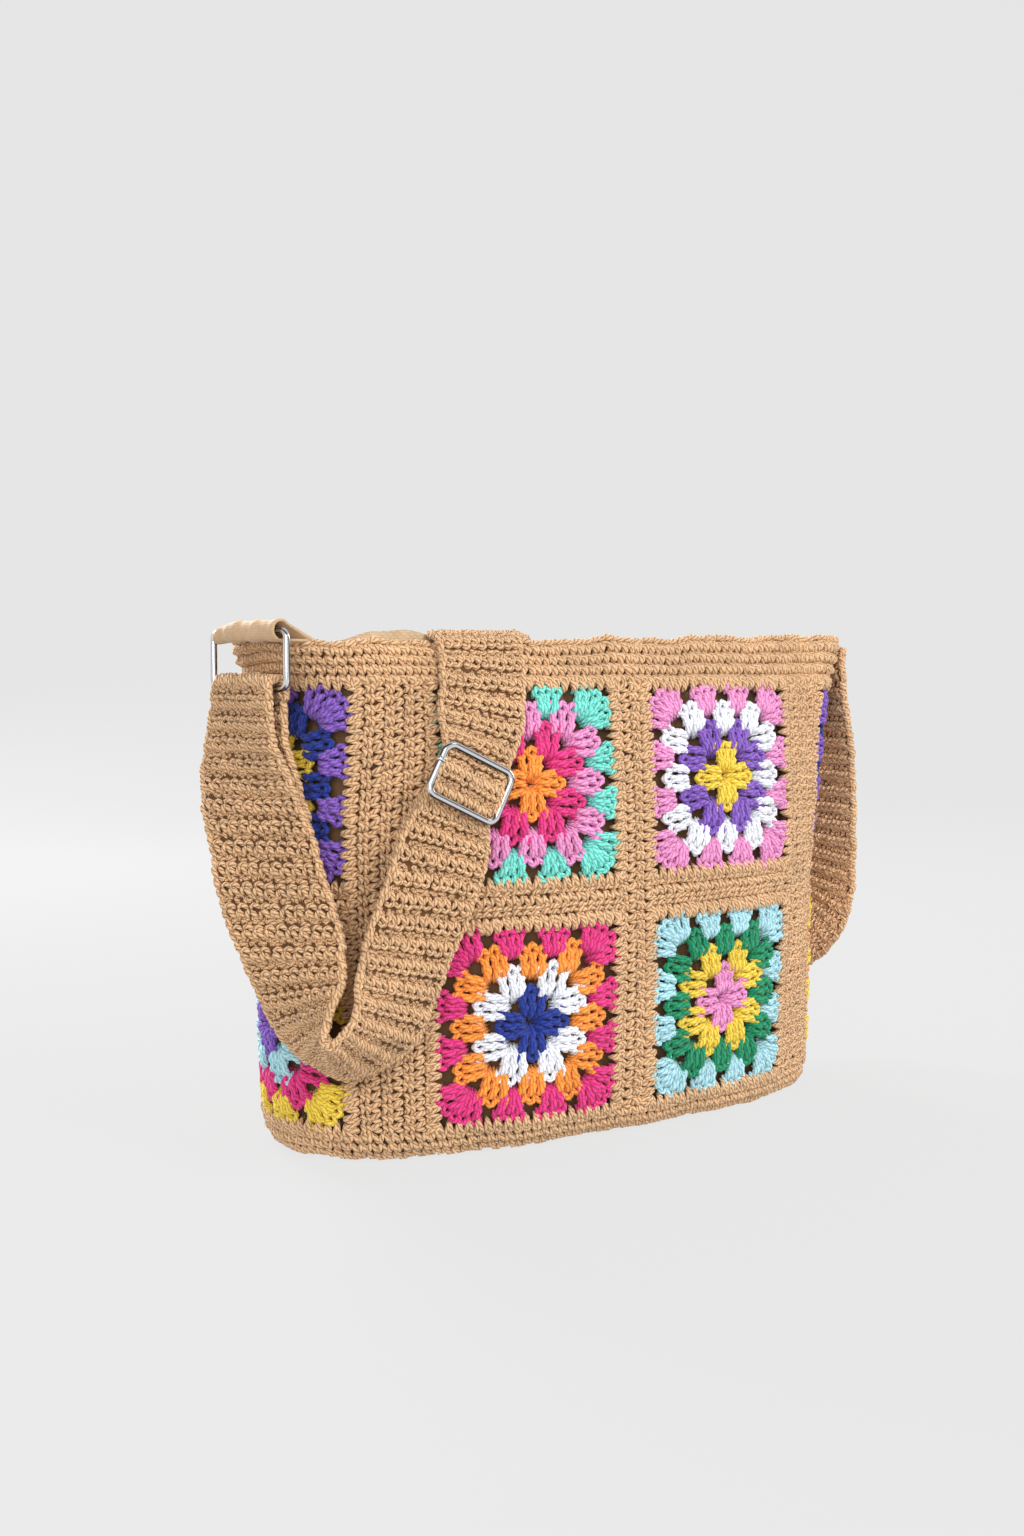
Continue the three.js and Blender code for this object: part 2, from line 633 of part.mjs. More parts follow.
// The cotton tab is sewn inside the rim, passes over it, goes round the ring's upper
// bar and comes back to the rim's outer side.
function addTab() {
  const bar = ringFrame();
  const inner = -(WALL + LINING_ROOM + LINING + 3 * SEAT + TAB_THICKNESS / 2);
  const over = SEAT + TAB_THICKNESS / 2;
  const reach = WIRE / 2 + TAB_ROOM + TAB_THICKNESS / 2;
  // stand off the wall, the height of the wall it is taken from, and a lift above that
  const inside = [
    [inner, HEIGHT - TAB_INSIDE, 0],
    [inner, HEIGHT - TAB_INSIDE / 2, 0],
    [inner, HEIGHT, 0],
    [-WALL, HEIGHT, over],
    [0, HEIGHT, over],
  ];
  const outside = [[3 * SEAT + TAB_THICKNESS / 2, HEIGHT - TAB_BELOW_RIM, 0]];
  const turns = evenly(150, -120, 6);
  const columnAt = (aside) => {
    const around = ringAround + toShare(aside);
    const onWall = ([stand, height, lift]) => wallPoint(around, height, stand)
      .add(new THREE.Vector3(0, 0, lift));
    const loop = turns.map((degrees) => {
      const turn = THREE.MathUtils.degToRad(degrees);
      return bar.place.clone()
        .addScaledVector(bar.along, aside)
        .addScaledVector(bar.out, reach * Math.cos(turn))
        .add(new THREE.Vector3(0, 0, reach * Math.sin(turn)));
    });
    return [...inside.map(onWall), ...loop, ...outside.map(onWall)];
  };
  const columns = evenly(-TAB_WIDTH / 2, TAB_WIDTH / 2, 4).map(columnAt);
  const count = columns[0].length;
  const points = columns.flatMap((column) => column.flatMap((place, i) => {
    const before = column[Math.max(i - 1, 0)];
    const after = column[Math.min(i + 1, count - 1)];
    const run = after.clone().sub(before).normalize();
    const face = bar.along.clone().cross(run).normalize().multiplyScalar(TAB_THICKNESS / 2);
    return [place.clone().add(face), place.clone().sub(face)];
  }));
  const at = (i, j, k) => (i * count + j) * 2 + k;
  const triangles = [];
  const quad = (a, b, c, d) => triangles.push(a, b, c, a, c, d);
  const lastRow = columns.length - 1;
  for (let j = 0; j < count - 1; j += 1) {
    for (let i = 0; i < lastRow; i += 1) {
      quad(at(i, j, 0), at(i + 1, j, 0), at(i + 1, j + 1, 0), at(i, j + 1, 0));
      quad(at(i, j, 1), at(i, j + 1, 1), at(i + 1, j + 1, 1), at(i + 1, j, 1));
    }
    quad(at(0, j, 0), at(0, j + 1, 0), at(0, j + 1, 1), at(0, j, 1));
    quad(at(lastRow, j, 0), at(lastRow, j, 1), at(lastRow, j + 1, 1), at(lastRow, j + 1, 0));
  }
  for (let i = 0; i < lastRow; i += 1) {
    const end = count - 1;
    quad(at(i, 0, 0), at(i, 0, 1), at(i + 1, 0, 1), at(i + 1, 0, 0));
    quad(at(i, end, 0), at(i + 1, end, 0), at(i + 1, end, 1), at(i, end, 1));
  }
  addPiece('ring_tab', solid(points, triangles), liningTan);
}

// The slide buckle: the strap goes behind its two long wires and over its bar.
function addSlideBuckle() {
  const onStrap = STRAP_THICKNESS / 2 + SEAT + WIRE / 2;
  const [upper, lower] = [FRONT_RUN[tailStart - 2], FRONT_RUN[tailStart + 1]].map(wallRow);
  const hump = wallRow(FRONT_RUN[tailStart - 1]);
  const along = hump.across;
  const down = lower.place.clone().sub(upper.place);
  const out = down.cross(along).normalize();
  const wires = upper.place.clone().lerp(lower.place, 0.5).addScaledVector(out, onStrap + 6 * SEAT);
  const width = upper.width * STRAP_WIDTH + 2 * SLIDE_ROOM;
  const rectangle = wireRectangle(width, SLIDE_HEIGHT);
  addPiece('slide_frame', turned(rectangle, wires, along, out), chromeWire);
  const length = width - WIRE - 2 * SEAT;
  const bar = new THREE.CylinderGeometry(WIRE / 2, WIRE / 2, length, 10);
  bar.rotateZ(Math.PI / 2);
  const middle = hump.place.clone().addScaledVector(out, -onStrap - SEAT);
  addPiece('slide_bar', turned(bar, middle, along, out), chromeWire);
}

addBase();
addSquares();
addStrips();
addRimBand();
addLining();
const lowerBar = addRing();
addTab();
addStrap(lowerBar);
addSlideBuckle();

export default bag;
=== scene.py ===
"""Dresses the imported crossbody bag: crocheted granny squares in tan strips, a lined
open top, a wide crocheted strap, a wire ring and a slide buckle."""
import bmesh
import bpy
import numpy as np
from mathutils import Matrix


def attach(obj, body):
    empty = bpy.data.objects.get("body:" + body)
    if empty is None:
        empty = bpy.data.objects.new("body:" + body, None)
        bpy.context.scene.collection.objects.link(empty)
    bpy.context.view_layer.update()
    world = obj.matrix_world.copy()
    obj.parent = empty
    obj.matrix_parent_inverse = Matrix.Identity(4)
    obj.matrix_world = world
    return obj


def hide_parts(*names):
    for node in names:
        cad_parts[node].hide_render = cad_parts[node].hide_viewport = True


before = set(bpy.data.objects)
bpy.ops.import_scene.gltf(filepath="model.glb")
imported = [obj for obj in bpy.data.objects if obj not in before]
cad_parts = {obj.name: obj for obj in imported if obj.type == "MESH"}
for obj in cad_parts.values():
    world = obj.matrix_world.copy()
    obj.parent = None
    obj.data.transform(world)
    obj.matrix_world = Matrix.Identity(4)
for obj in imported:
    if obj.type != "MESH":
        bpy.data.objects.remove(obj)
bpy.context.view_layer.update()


# The base. An oval sole is crocheted in rounds about a short line, in tan cotton yarn,
# and turns up into a low band of plain rows. Everything above it is worked on from it.
# The bag's wall is one soft shape, so its outline is here with the first piece on it.
SQUARE = 95.0
SQUARE_HEIGHT = 92.5
CENTRE_STRIP = 18.0
CORNER_STRIP = 37.0
TIER_STRIP = 17.0
BASE_BAND = 14.0
RIM_BAND = 19.5
RIM_SLOPE = 3.5
WALL = 4.0
GIRTH = 2 * (CENTRE_STRIP + 3 * SQUARE + 2 * CORNER_STRIP)
HEIGHT = BASE_BAND + 2 * SQUARE_HEIGHT + TIER_STRIP + RIM_BAND

# Height as a share of HEIGHT, then end to end, front to back and the shift along X as
# shares of GIRTH, then how square the ends and the sides are.
SECTIONS = np.array([
    [0.000, 0.3825, 0.1395, 0.000, 2.9, 2.8],
    [0.020, 0.3970, 0.1665, 0.000, 2.7, 2.5],
    [0.060, 0.4050, 0.1840, 0.000, 2.5, 2.3],
    [0.250, 0.4110, 0.1910, 0.000, 2.4, 2.2],
    [0.480, 0.4050, 0.1935, 0.000, 2.5, 2.5],
    [0.710, 0.4030, 0.1850, 0.001, 2.7, 2.9],
    [0.900, 0.4120, 0.1650, 0.003, 2.9, 3.2],
    [1.000, 0.4360, 0.1410, 0.005, 3.0, 3.5],
])


def unit(vectors):
    """Each vector over its own length."""
    return vectors / np.maximum(np.linalg.norm(vectors, axis=-1, keepdims=True), 1e-9)


def section_values(up):
    """The columns of SECTIONS at heights up: a cubic between two rows, whose slope at
    each row is that of the line between its neighbours."""
    rows = SECTIONS
    count = len(rows)
    before = np.maximum(np.arange(count) - 1, 0)
    after = np.minimum(np.arange(count) + 1, count - 1)
    slope = (rows[after] - rows[before]) / (rows[after, 0] - rows[before, 0])[:, None]
    k = np.clip(np.searchsorted(rows[:, 0], up) - 1, 0, count - 2)
    span = (rows[k + 1, 0] - rows[k, 0])[:, None]
    s = (up - rows[k, 0])[:, None] / span
    return ((1 + 2 * s) * (1 - s) ** 2 * rows[k] + s * (1 - s) ** 2 * span * slope[k]
            + s ** 2 * (3 - 2 * s) * rows[k + 1] + s ** 2 * (s - 1) * span * slope[k + 1])


def outline_table(levels, shares):
    """The plan outline at each level, as points at equal shares of its length: the
    signed cosine and sine of a turn, each to a power, times the half sizes."""
    values = section_values(np.linspace(0, 1, levels))
    turn = np.linspace(0, 2 * np.pi, 1441)
    c = -np.cos(turn)
    s = -np.sin(turn)
    table = []
    for _, length, depth, shift, end_power, side_power in values:
        x = (shift + length / 2 * np.sign(c) * np.abs(c) ** (2 / end_power)) * GIRTH
        y = depth / 2 * np.sign(s) * np.abs(s) ** (2 / side_power) * GIRTH
        run = np.concatenate([[0], np.cumsum(np.hypot(np.diff(x), np.diff(y)))])
        at = np.linspace(0, run[-1], shares)
        table.append(np.stack([np.interp(at, run, x), np.interp(at, run, y)], -1))
    return np.array(table)


OUTLINES = outline_table(161, 1509)


def wall_place(around, height):
    """A point of the wall: the table of outlines read between its four nearest values.
    Within the rim band the wall dips to the left end and rises to the right one."""
    levels, shares = OUTLINES.shape[:2]
    row = np.clip(height / HEIGHT, 0, 1) * (levels - 1)
    column = (around % 1) * (shares - 1)
    i = np.minimum(row.astype(int), levels - 2)
    j = np.minimum(column.astype(int), shares - 2)
    a = (row - i)[..., None]
    b = (column - j)[..., None]
    plan = ((1 - a) * ((1 - b) * OUTLINES[i, j] + b * OUTLINES[i, j + 1])
            + a * ((1 - b) * OUTLINES[i + 1, j] + b * OUTLINES[i + 1, j + 1]))
    in_band = np.clip((height - (HEIGHT - RIM_BAND)) / RIM_BAND, 0, 1)
    height = height - RIM_SLOPE * in_band * np.cos(2 * np.pi * around)
    return np.concatenate([plan, height[..., None]], -1)


def slackness(around, height):
    """How far the soft wall strays in or out: a few long waves that cross."""
    turn = 2 * np.pi * around
    up = height / HEIGHT
    return (0.7 * np.sin(5 * turn + 3.1 * up + 0.4) * np.sin(np.pi * np.clip(up, 0, 1))
            + 0.4 * np.sin(11 * turn - 5.3 * up + 1.9) + 0.25 * np.sin(19 * turn + 9.0 * up))


def bump(x, middle, width):
    """A smooth hill of height 1: the exponential of minus the square of the distance
    from its middle over its width."""
    return np.exp(-((x - middle) / width) ** 2)


def wall_cloth(x, y):
    """The wall as cloth: x mm along the girth, y mm up, and straight out of it. The
    ring's tab pulls the rim up at the left end, both gussets spread toward the front,
    and the corner behind the tab and the one at the strap's seam flare out."""
    x, y = np.broadcast_arrays(x, y)
    signed = (x + GIRTH / 2) % GIRTH - GIRTH / 2
    spread = 5.5 * bump(signed, 47, 26) * np.clip((y - 150) / 75, 0, 1)
    spread = spread - 13.0 * bump(signed, 329, 20) * np.clip((y - 120) / 60, 0, 1)
    around = (x + spread) / GIRTH
    place = wall_place(around, y)
    along = wall_place(around + 0.002, y) - wall_place(around - 0.002, y)
    rise = wall_place(around, y + 1.5) - wall_place(around, y - 1.5)
    out = unit(np.cross(along, rise))
    wave = 0.9 * np.sin(2 * np.pi * x / 58 + 0.8) + 0.6 * np.sin(2 * np.pi * x / 25)
    pulled = 3.2 * bump(signed, -12, 38)
    lift = (wave * 0.8 + pulled) * np.clip((y - HEIGHT + RIM_BAND) / RIM_BAND, 0, 1)
    place = place + lift[..., None] * [0, 0, 1]
    flare = 7.5 * bump(signed, -52, 34) * np.clip((y - HEIGHT + 60) / 60, 0, 1) ** 2
    flare = flare + 6.5 * bump(signed, 336, 22) * np.clip((y - HEIGHT + 110) / 110, 0, 1)
    return place + (slackness(around, y) + flare)[..., None] * out, out


# The height of the sole's cloth, whose stitches stand down from it.
SOLE_UP = 1.7


def sole_cloth(x, y):
    """The sole: x mm along its edge and y mm inward, so that each round is the
    outline drawn in by the same length at the ends as at the sides."""
    x, y = np.broadcast_arrays(x, y)
    place = wall_place(x / GIRTH, np.zeros_like(y))
    half = SECTIONS[0, 1:3] * GIRTH / 2
    inward = 1 - np.minimum(y, half[1])[..., None] / half
    plan = place[..., :2] * inward
    out = np.broadcast_to(np.array([0.0, 0.0, -1.0]), place.shape)
    return np.concatenate([plan, np.full(x.shape + (1,), SOLE_UP)], -1), out


def yarn_strands(paths, outs, radius, chance, finish=0, sides=5):
    """A tube of yarn along each path. Each point of a path carries a ring: the radius
    times the cosine of a turn sideways plus its sine outward. The radius falls to
    four tenths at both ends. Its map runs in mm along the yarn and once round it."""
    count, stations = paths.shape[:2]
    run = unit(np.gradient(paths, axis=1))
    side = unit(np.cross(outs, run))
    up = np.cross(run, side)
    turn = 2 * np.pi * np.arange(sides) / sides - np.pi / 2
    taper = 1 - 0.6 * np.abs(np.linspace(-1, 1, stations)) ** 4
    size = (radius * taper * (1 + 0.07 * chance.standard_normal((count, 1))))[..., None, None]
    ring = (side[:, :, None] * np.cos(turn)[:, None] + up[:, :, None] * np.sin(turn)[:, None])
    points = (paths[:, :, None] + ring * size).reshape(-1, 3)
    steps = np.linalg.norm(np.diff(paths, axis=1), axis=-1)
    length = np.concatenate([np.zeros((count, 1)), np.cumsum(steps, axis=1)], 1)
    length = length + chance.uniform(0, 6, (count, 1))

    first = (np.arange(count) * stations * sides)[:, None, None]
    i = np.arange(stations - 1)[None, :, None]
    j = np.arange(sides)[None, None, :]
    near = first + i * sides
    quads = np.stack([near + j, near + (j + 1) % sides, near + sides + (j + 1) % sides,
                      near + sides + j], -1)
    u = np.stack([length[:, :-1], length[:, :-1], length[:, 1:], length[:, 1:]], -1)
    v = np.stack([j, j + 1, j + 1, j], -1)[0, 0] / sides
    shape = (count, stations - 1, sides, 4)
    quad_map = np.stack([np.broadcast_to(u[:, :, None], shape),
                         np.broadcast_to(v, shape)], -1)
    start = first[:, :, 0] + np.arange(sides)[::-1]
    end = first[:, :, 0] + (stations - 1) * sides + np.arange(sides)
    caps = np.concatenate([start, end])
    cap_map = np.zeros(caps.shape + (2,))
    shade = np.repeat(chance.standard_normal(count), stations * sides)
    faces = [(quads.reshape(-1, 4), quad_map.reshape(-1, 4, 2), finish),
             (caps, cap_map, finish)]
    return points, shade, faces


def ring_skin(rings):
    """A skin through rings of points, each of which goes once round the girth: quads
    join each two neighbours of a ring to the same two of the next ring."""
    grid = np.arange(len(rings) * len(rings[0])).reshape(len(rings), -1)
    quads = np.stack([grid[:-1, :-1], grid[:-1, 1:], grid[1:, 1:], grid[1:, :-1]], -1)
    quads = quads.reshape(-1, 4)
    return np.concatenate(rings), np.zeros(grid.size), [(quads, np.zeros(quads.shape + (2,)), 0)]


def add_piece(name, parts, materials, merge=False):
    """One object from several parts in mm. A part is its points, a shade for each, and
    its faces as corners, their map and the place of their material in materials."""
    points = np.concatenate([part[0] for part in parts]) / 1000
    shade = np.concatenate([part[1] for part in parts])
    corners, maps, sizes, finishes = [], [], [], []
    offset = 0
    for part_points, _, faces in parts:
        for polygons, face_map, finish in faces:
            corners.append((polygons + offset).ravel())
            maps.append(face_map.reshape(-1, 2))
            sizes.append(np.full(len(polygons), polygons.shape[1]))
            finishes.append(np.full(len(polygons), finish))
        offset += len(part_points)
    corners, maps = np.concatenate(corners), np.concatenate(maps)
    sizes, finishes = np.concatenate(sizes), np.concatenate(finishes)
    mesh = bpy.data.meshes.new(name)
    mesh.vertices.add(len(points))
    mesh.vertices.foreach_set("co", points.ravel())
    mesh.loops.add(len(corners))
    mesh.loops.foreach_set("vertex_index", corners)
    mesh.polygons.add(len(sizes))
    mesh.polygons.foreach_set("loop_start", np.cumsum(sizes) - sizes)
    mesh.polygons.foreach_set("material_index", finishes)
    mesh.uv_layers.new(name="yarn").data.foreach_set("uv", maps.ravel())
    mesh.attributes.new("shade", "FLOAT", "POINT").data.foreach_set("value", shade)
    mesh.update(calc_edges=True)
    mesh.shade_smooth()
    if merge:
        work = bmesh.new()
        work.from_mesh(mesh)
        bmesh.ops.remove_doubles(work, verts=work.verts, dist=1e-6)
        work.to_mesh(mesh)
        work.free()
    for material in materials:
        mesh.materials.append(material)
    piece = bpy.data.objects.new(name, mesh)
    bpy.context.scene.collection.objects.link(piece)
    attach(piece, "root")
    return piece


def linear(hexa):
    """An sRGB hex colour as linear red, green, blue and a full alpha."""
    srgb = np.array([int(hexa[i:i + 2], 16) for i in (0, 2, 4)]) / 255
    low = srgb / 12.92
    high = ((srgb + 0.055) / 1.055) ** 2.4
    return (*np.where(srgb <= 0.04045, low, high), 1.0)


def add_node(tree, kind, values=None, links=None, **settings):
    """A node with its settings, its socket values and what its sockets are fed by."""
    made = tree.nodes.new(kind)
    for setting, value in settings.items():
        setattr(made, setting, value)
    for socket, value in (values or {}).items():
        made.inputs[socket].default_value = value
    for socket, source in (links or {}).items():
        tree.links.new(source, made.inputs[socket])
    return made


def cotton_yarn(name, hexa, shade_and_grain_colour):
    """Plied matt cotton yarn: three plies laid round each other, which show as slanted
    rounded ridges with painted shade in the lines between them. A fuzz of about 1 mm
    breaks the ridges, patches of about 20 mm differ a little in tone, and so does each strand."""
    material = bpy.data.materials.new(name)
    material.use_nodes = True
    tree = material.node_tree
    shader = tree.nodes["Principled BSDF"]
    shader.inputs["Roughness"].default_value = 0.78
    shader.inputs["IOR"].default_value = 1.45
    shader.inputs["Sheen Weight"].default_value = 0.12
    shader.inputs["Sheen Roughness"].default_value = 0.5
    shader.inputs["Specular IOR Level"].default_value = 0.3
    plies, twist_mm = 3, 7.5
    where = add_node(tree, "ShaderNodeUVMap", uv_map="yarn")
    split = add_node(tree, "ShaderNodeSeparateXYZ", links={0: where.outputs["UV"]})
    lay = add_node(tree, "ShaderNodeMath", operation="MULTIPLY_ADD",
                   values={1: 1 / twist_mm}, links={0: split.outputs["X"], 2: split.outputs["Y"]})
    turn = add_node(tree, "ShaderNodeMath", operation="MULTIPLY",
                    values={1: plies * np.pi}, links={0: lay.outputs[0]})
    wave = add_node(tree, "ShaderNodeMath", operation="SINE", links={0: turn.outputs[0]})
    ply = add_node(tree, "ShaderNodeMath", operation="ABSOLUTE", links={0: wave.outputs[0]})
    body = add_node(tree, "ShaderNodeTexCoord")
    fuzz = add_node(tree, "ShaderNodeTexNoise", values={"Scale": 900.0, "Detail": 3.0},
                    links={"Vector": body.outputs["Object"]})
    patch = add_node(tree, "ShaderNodeTexNoise", values={"Scale": 45.0, "Detail": 2.0},
                     links={"Vector": body.outputs["Object"]})
    mixed = add_node(tree, "ShaderNodeMath", operation="MULTIPLY_ADD",
                     values={1: 0.45}, links={0: fuzz.outputs["Fac"], 2: ply.outputs[0]})
    # The second colour is painted shade where the plies dip, and grain where the fuzz does.
    shade_and_fuzz_share = add_node(tree, "ShaderNodeMapRange", values={
        "From Min": 0.15, "From Max": 0.95, "To Min": 0.0, "To Max": 1.0},
        links={"Value": mixed.outputs[0]})
    colour = add_node(tree, "ShaderNodeMix", data_type="RGBA",
                      values={6: linear(shade_and_grain_colour), 7: linear(hexa)}, links={0: shade_and_fuzz_share.outputs[0]})
    shade = add_node(tree, "ShaderNodeAttribute", attribute_name="shade")
    uneven = add_node(tree, "ShaderNodeMath", operation="MULTIPLY_ADD",
                      values={1: 0.035, 2: 0.8}, links={0: shade.outputs["Fac"]})
    light = add_node(tree, "ShaderNodeMath", operation="MULTIPLY_ADD",
                     values={1: 0.4}, links={0: patch.outputs["Fac"], 2: uneven.outputs[0]})
    toned = add_node(tree, "ShaderNodeHueSaturation", values={"Saturation": 1.0},
                     links={"Value": light.outputs[0], "Color": colour.outputs[2]})
    relief = add_node(tree, "ShaderNodeBump", values={"Strength": 0.9, "Distance": 0.0004},
                      links={"Height": mixed.outputs[0]})
    tree.links.new(toned.outputs[0], shader.inputs["Base Color"])
    tree.links.new(relief.outputs[0], shader.inputs["Normal"])
    return material


# Each yarn's second colour is the painted shade between its plies.
tan_yarn = cotton_yarn("tan_cotton_yarn", "dfb68b", "835930")
# The inside of the crochet, seen only between the strands, in a darker tan that is painted shade.
shaded_core_yarn = cotton_yarn("tan_yarn_core_painted_shade", "8a6038", "5c3d21")

STITCH = 4.7
ROW = 4.8
# The radius of the yarn, and how far all stitches are moved out of the cloth's surface.
YARN = 1.42
LIFT = -0.5
# How uneven hand work is: how far a stitch strays, in mm, and how much it slants.
STRAY = 0.24
SLANT = 0.09
# A stitch from its front is two legs of a V, and from its back two low arches. Each
# point is across in stitches, up in rows, and out in mm.
FRONT_LEG = np.array([(-0.03, -0.14, -1.1), (-0.10, 0.20, 0.10), (-0.22, 0.52, 0.55),
                      (-0.36, 0.82, 0.35), (-0.47, 1.10, -0.9)])
FRONT = np.stack([FRONT_LEG, FRONT_LEG * [-1, 1, 1]])
BACK = np.array([
    [(-0.56, 0.62, -1.0), (-0.30, 0.80, 0.25), (0.0, 0.88, 0.55), (0.30, 0.78, 0.25),
     (0.56, 0.58, -1.0)],
    [(-0.44, -0.02, -1.0), (-0.28, 0.26, 0.10), (0.02, 0.42, 0.40), (0.30, 0.24, 0.10),
     (0.46, -0.04, -1.0)],
])


def crochet(cloth, x, y, width, height, stitch, chance, lift=0.0, yarn=YARN, relief=None):
    """Stitches on cloth with their feet at x and y: each strand's points are the
    stitch's own, times its width and height, with a little chance in each. relief
    swells the cloth by its place up it."""
    stray = chance.normal(0, STRAY, (3, len(x), 1, 1))
    turn = chance.normal(0, SLANT, (len(x), 1, 1))
    across, up, out = stitch[..., 0], stitch[..., 1], stitch[..., 2]
    px = x[:, None, None] + width * across + turn * height * (up - 0.5) + stray[0]
    py = y[:, None, None] + height * up - turn * width * across + stray[1]
    place, normal = cloth(px, py)
    stand = out + lift + stray[2]
    if relief is not None:
        stand = stand + relief(py)
    place = place + stand[..., None] * normal
    stations = stitch.shape[1]
    return yarn_strands(place.reshape(-1, stations, 3), normal.reshape(-1, stations, 3),
                        yarn, chance)


def plain_rows(cloth, x_range, y_range, chance, turned=True, start=0, swell=1.3,
               stitch_width=STITCH):
    """Rows of plain crochet that fill a stretch of cloth, each row swelled in its
    middle. Work that is turned at the end of each row shows the front of one row and
    the back of the next."""
    rows = max(1, round((y_range[1] - y_range[0]) / ROW))
    count = round((x_range[1] - x_range[0]) / stitch_width)
    height = (y_range[1] - y_range[0]) / rows
    width = (x_range[1] - x_range[0]) / count
    parts = []

    def relief(py):
        return swell * (np.abs(np.sin(np.pi * (py - y_range[0]) / height)) - 0.6)

    for row in range(rows):
        x = x_range[0] + (np.arange(count) + 0.5) * width + 0.12 * width * (-1) ** row
        y = np.full(count, y_range[0] + row * height)
        stitch = BACK if turned and (row + start) % 2 else FRONT
        parts.append(crochet(cloth, x, y, width, height, stitch, chance, LIFT, relief=relief))
    return parts


chance = np.random.default_rng(4513)
base_parts = []
half_depth = SECTIONS[0, 2] * GIRTH / 2
# The foot's outline is nine tenths of the girth, and each round inside it is shorter and
# has fewer stitches.
for inset in np.arange(1.2, half_depth - 1, ROW):
    share = 1 - inset / (0.36 * GIRTH / 2)
    count = max(8, round(share * 0.9 * GIRTH / STITCH))
    x = (np.arange(count) + 0.5) * GIRTH / count
    base_parts.append(crochet(sole_cloth, x, np.full(count, inset), GIRTH / count, ROW,
                              FRONT * [0.8, 1, 1], chance, lift=-1.2))
base_parts += plain_rows(wall_cloth, (0, GIRTH), (0.8, BASE_BAND), chance, turned=False)
base = add_piece("base_crochet", base_parts, [tan_yarn])

# The cloth's own thickness behind the stitches, in the darker core yarn, which is painted
# shade: from the middle of the sole out under it, up the band's outside, down its inside,
# and back to the middle.
CORE_OUT = -1.25
CORE_IN = -WALL
SOLE_UNDER = 0.9
SOLE_OVER = 3.0
girth_points = np.linspace(0, GIRTH, 241)


def wall_ring(at, height, stand):
    """The wall's points at one height, moved out of it by stand."""
    place, out = wall_cloth(at, np.full(len(at), height))
    return place + stand * out


def sole_ring(at, inset, lift):
    """The sole's points at one distance from its edge, raised by lift."""
    return sole_cloth(at, np.full(len(at), inset))[0] + [0, 0, lift]


rings = [sole_ring(girth_points, y, SOLE_UNDER) for y in np.linspace(half_depth, 3, 9)]
rings += [wall_ring(girth_points, z, CORE_OUT) for z in np.linspace(2.6, BASE_BAND, 5)]
rings += [wall_ring(girth_points, z, CORE_IN) for z in np.linspace(BASE_BAND, 5.0, 4)]
rings += [sole_ring(girth_points, y, SOLE_OVER) for y in np.linspace(6, half_depth, 8)]
sole = add_piece("base_core", [ring_skin(rings)], [shaded_core_yarn], merge=True)
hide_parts("base")


# The granny squares. Each is worked outward from its middle in four rounds of fans,
# three tall stitches to a fan, and each fan stands in a gap of the round before it.
TIERS = (BASE_BAND, BASE_BAND + SQUARE_HEIGHT + TIER_STRIP)
COLUMNS = {
    "left": -SQUARE / 2,
    "front_left": SQUARE / 2 + CORNER_STRIP,
    "front_right": SQUARE / 2 + CORNER_STRIP + SQUARE + CENTRE_STRIP,
    "right": GIRTH / 2 - SQUARE / 2,
    "back_right": GIRTH / 2 + SQUARE / 2 + CORNER_STRIP,
    "back_left": GIRTH / 2 + SQUARE / 2 + CORNER_STRIP + SQUARE + CENTRE_STRIP,
}
# Each yarn's second colour is the painted shade between its plies.
YARNS = {
    "turquoise": cotton_yarn("turquoise_cotton_yarn", "7fe0d2", "46a597"),
    "orchid": cotton_yarn("orchid_cotton_yarn", "ec9bcc", "c0669d"),
    "magenta": cotton_yarn("magenta_cotton_yarn", "e83d88", "a51b56"),
    "orange": cotton_yarn("orange_cotton_yarn", "fc9d44", "cb6c1e"),
    "white": cotton_yarn("white_cotton_yarn", "f4f5fa", "c3c6d2"),
    "purple": cotton_yarn("purple_cotton_yarn", "8b62c0", "563491"),
    "yellow": cotton_yarn("yellow_cotton_yarn", "f3d44e", "c49b26"),
    "royal": cotton_yarn("royal_cotton_yarn", "273d98", "141f60"),
    "sky": cotton_yarn("sky_cotton_yarn", "b4e0e8", "80b1c0"),
    "green": cotton_yarn("green_cotton_yarn", "1d9366", "0c5f3f"),
}
# Each square's yarns from the middle out.
ROUNDS = {
    ("left", 0): ("purple", "sky", "magenta", "yellow"),
    ("left", 1): ("magenta", "yellow", "royal", "purple"),
    ("front_left", 0): ("royal", "white", "orange", "magenta"),
    ("front_left", 1): ("orange", "magenta", "orchid", "turquoise"),
    ("front_right", 0): ("orchid", "yellow", "green", "sky"),
    ("front_right", 1): ("yellow", "purple", "white", "orchid"),
    ("right", 0): ("orchid", "green", "orange", "yellow"),
    ("right", 1): ("white", "orange", "royal", "purple"),
    ("back_right", 0): ("yellow", "white", "orchid", "magenta"),
    ("back_right", 1): ("royal", "yellow", "orange", "turquoise"),
    ("back_left", 0): ("orange", "royal", "white", "sky"),
    ("back_left", 1): ("white", "turquoise", "purple", "orchid"),
}
# For each round: how far out its fans stand and end, where along its side each fan has
# its foot and its head, and how far apart the heads and feet of its stitches are.
FAN_START = (0.8, 9.4, 20.0, 29.6)
FAN_END = (16.6, 27.0, 36.8, 45.0)
FAN_FEET = ((0.0,), (-8.5, 8.5), (-17.0, 0.0, 17.0), (-27.5, -9.5, 9.5, 27.5))
FAN_HEADS = ((0.0,), (-10.0, 10.0), (-19.5, 0.0, 19.5), (-33.5, -11.3, 11.3, 33.5))
HEADS_APART = (5.5, 5.3, 5.5, 5.6)
FEET_APART = (2.7, 3.2, 3.2, 2.0)
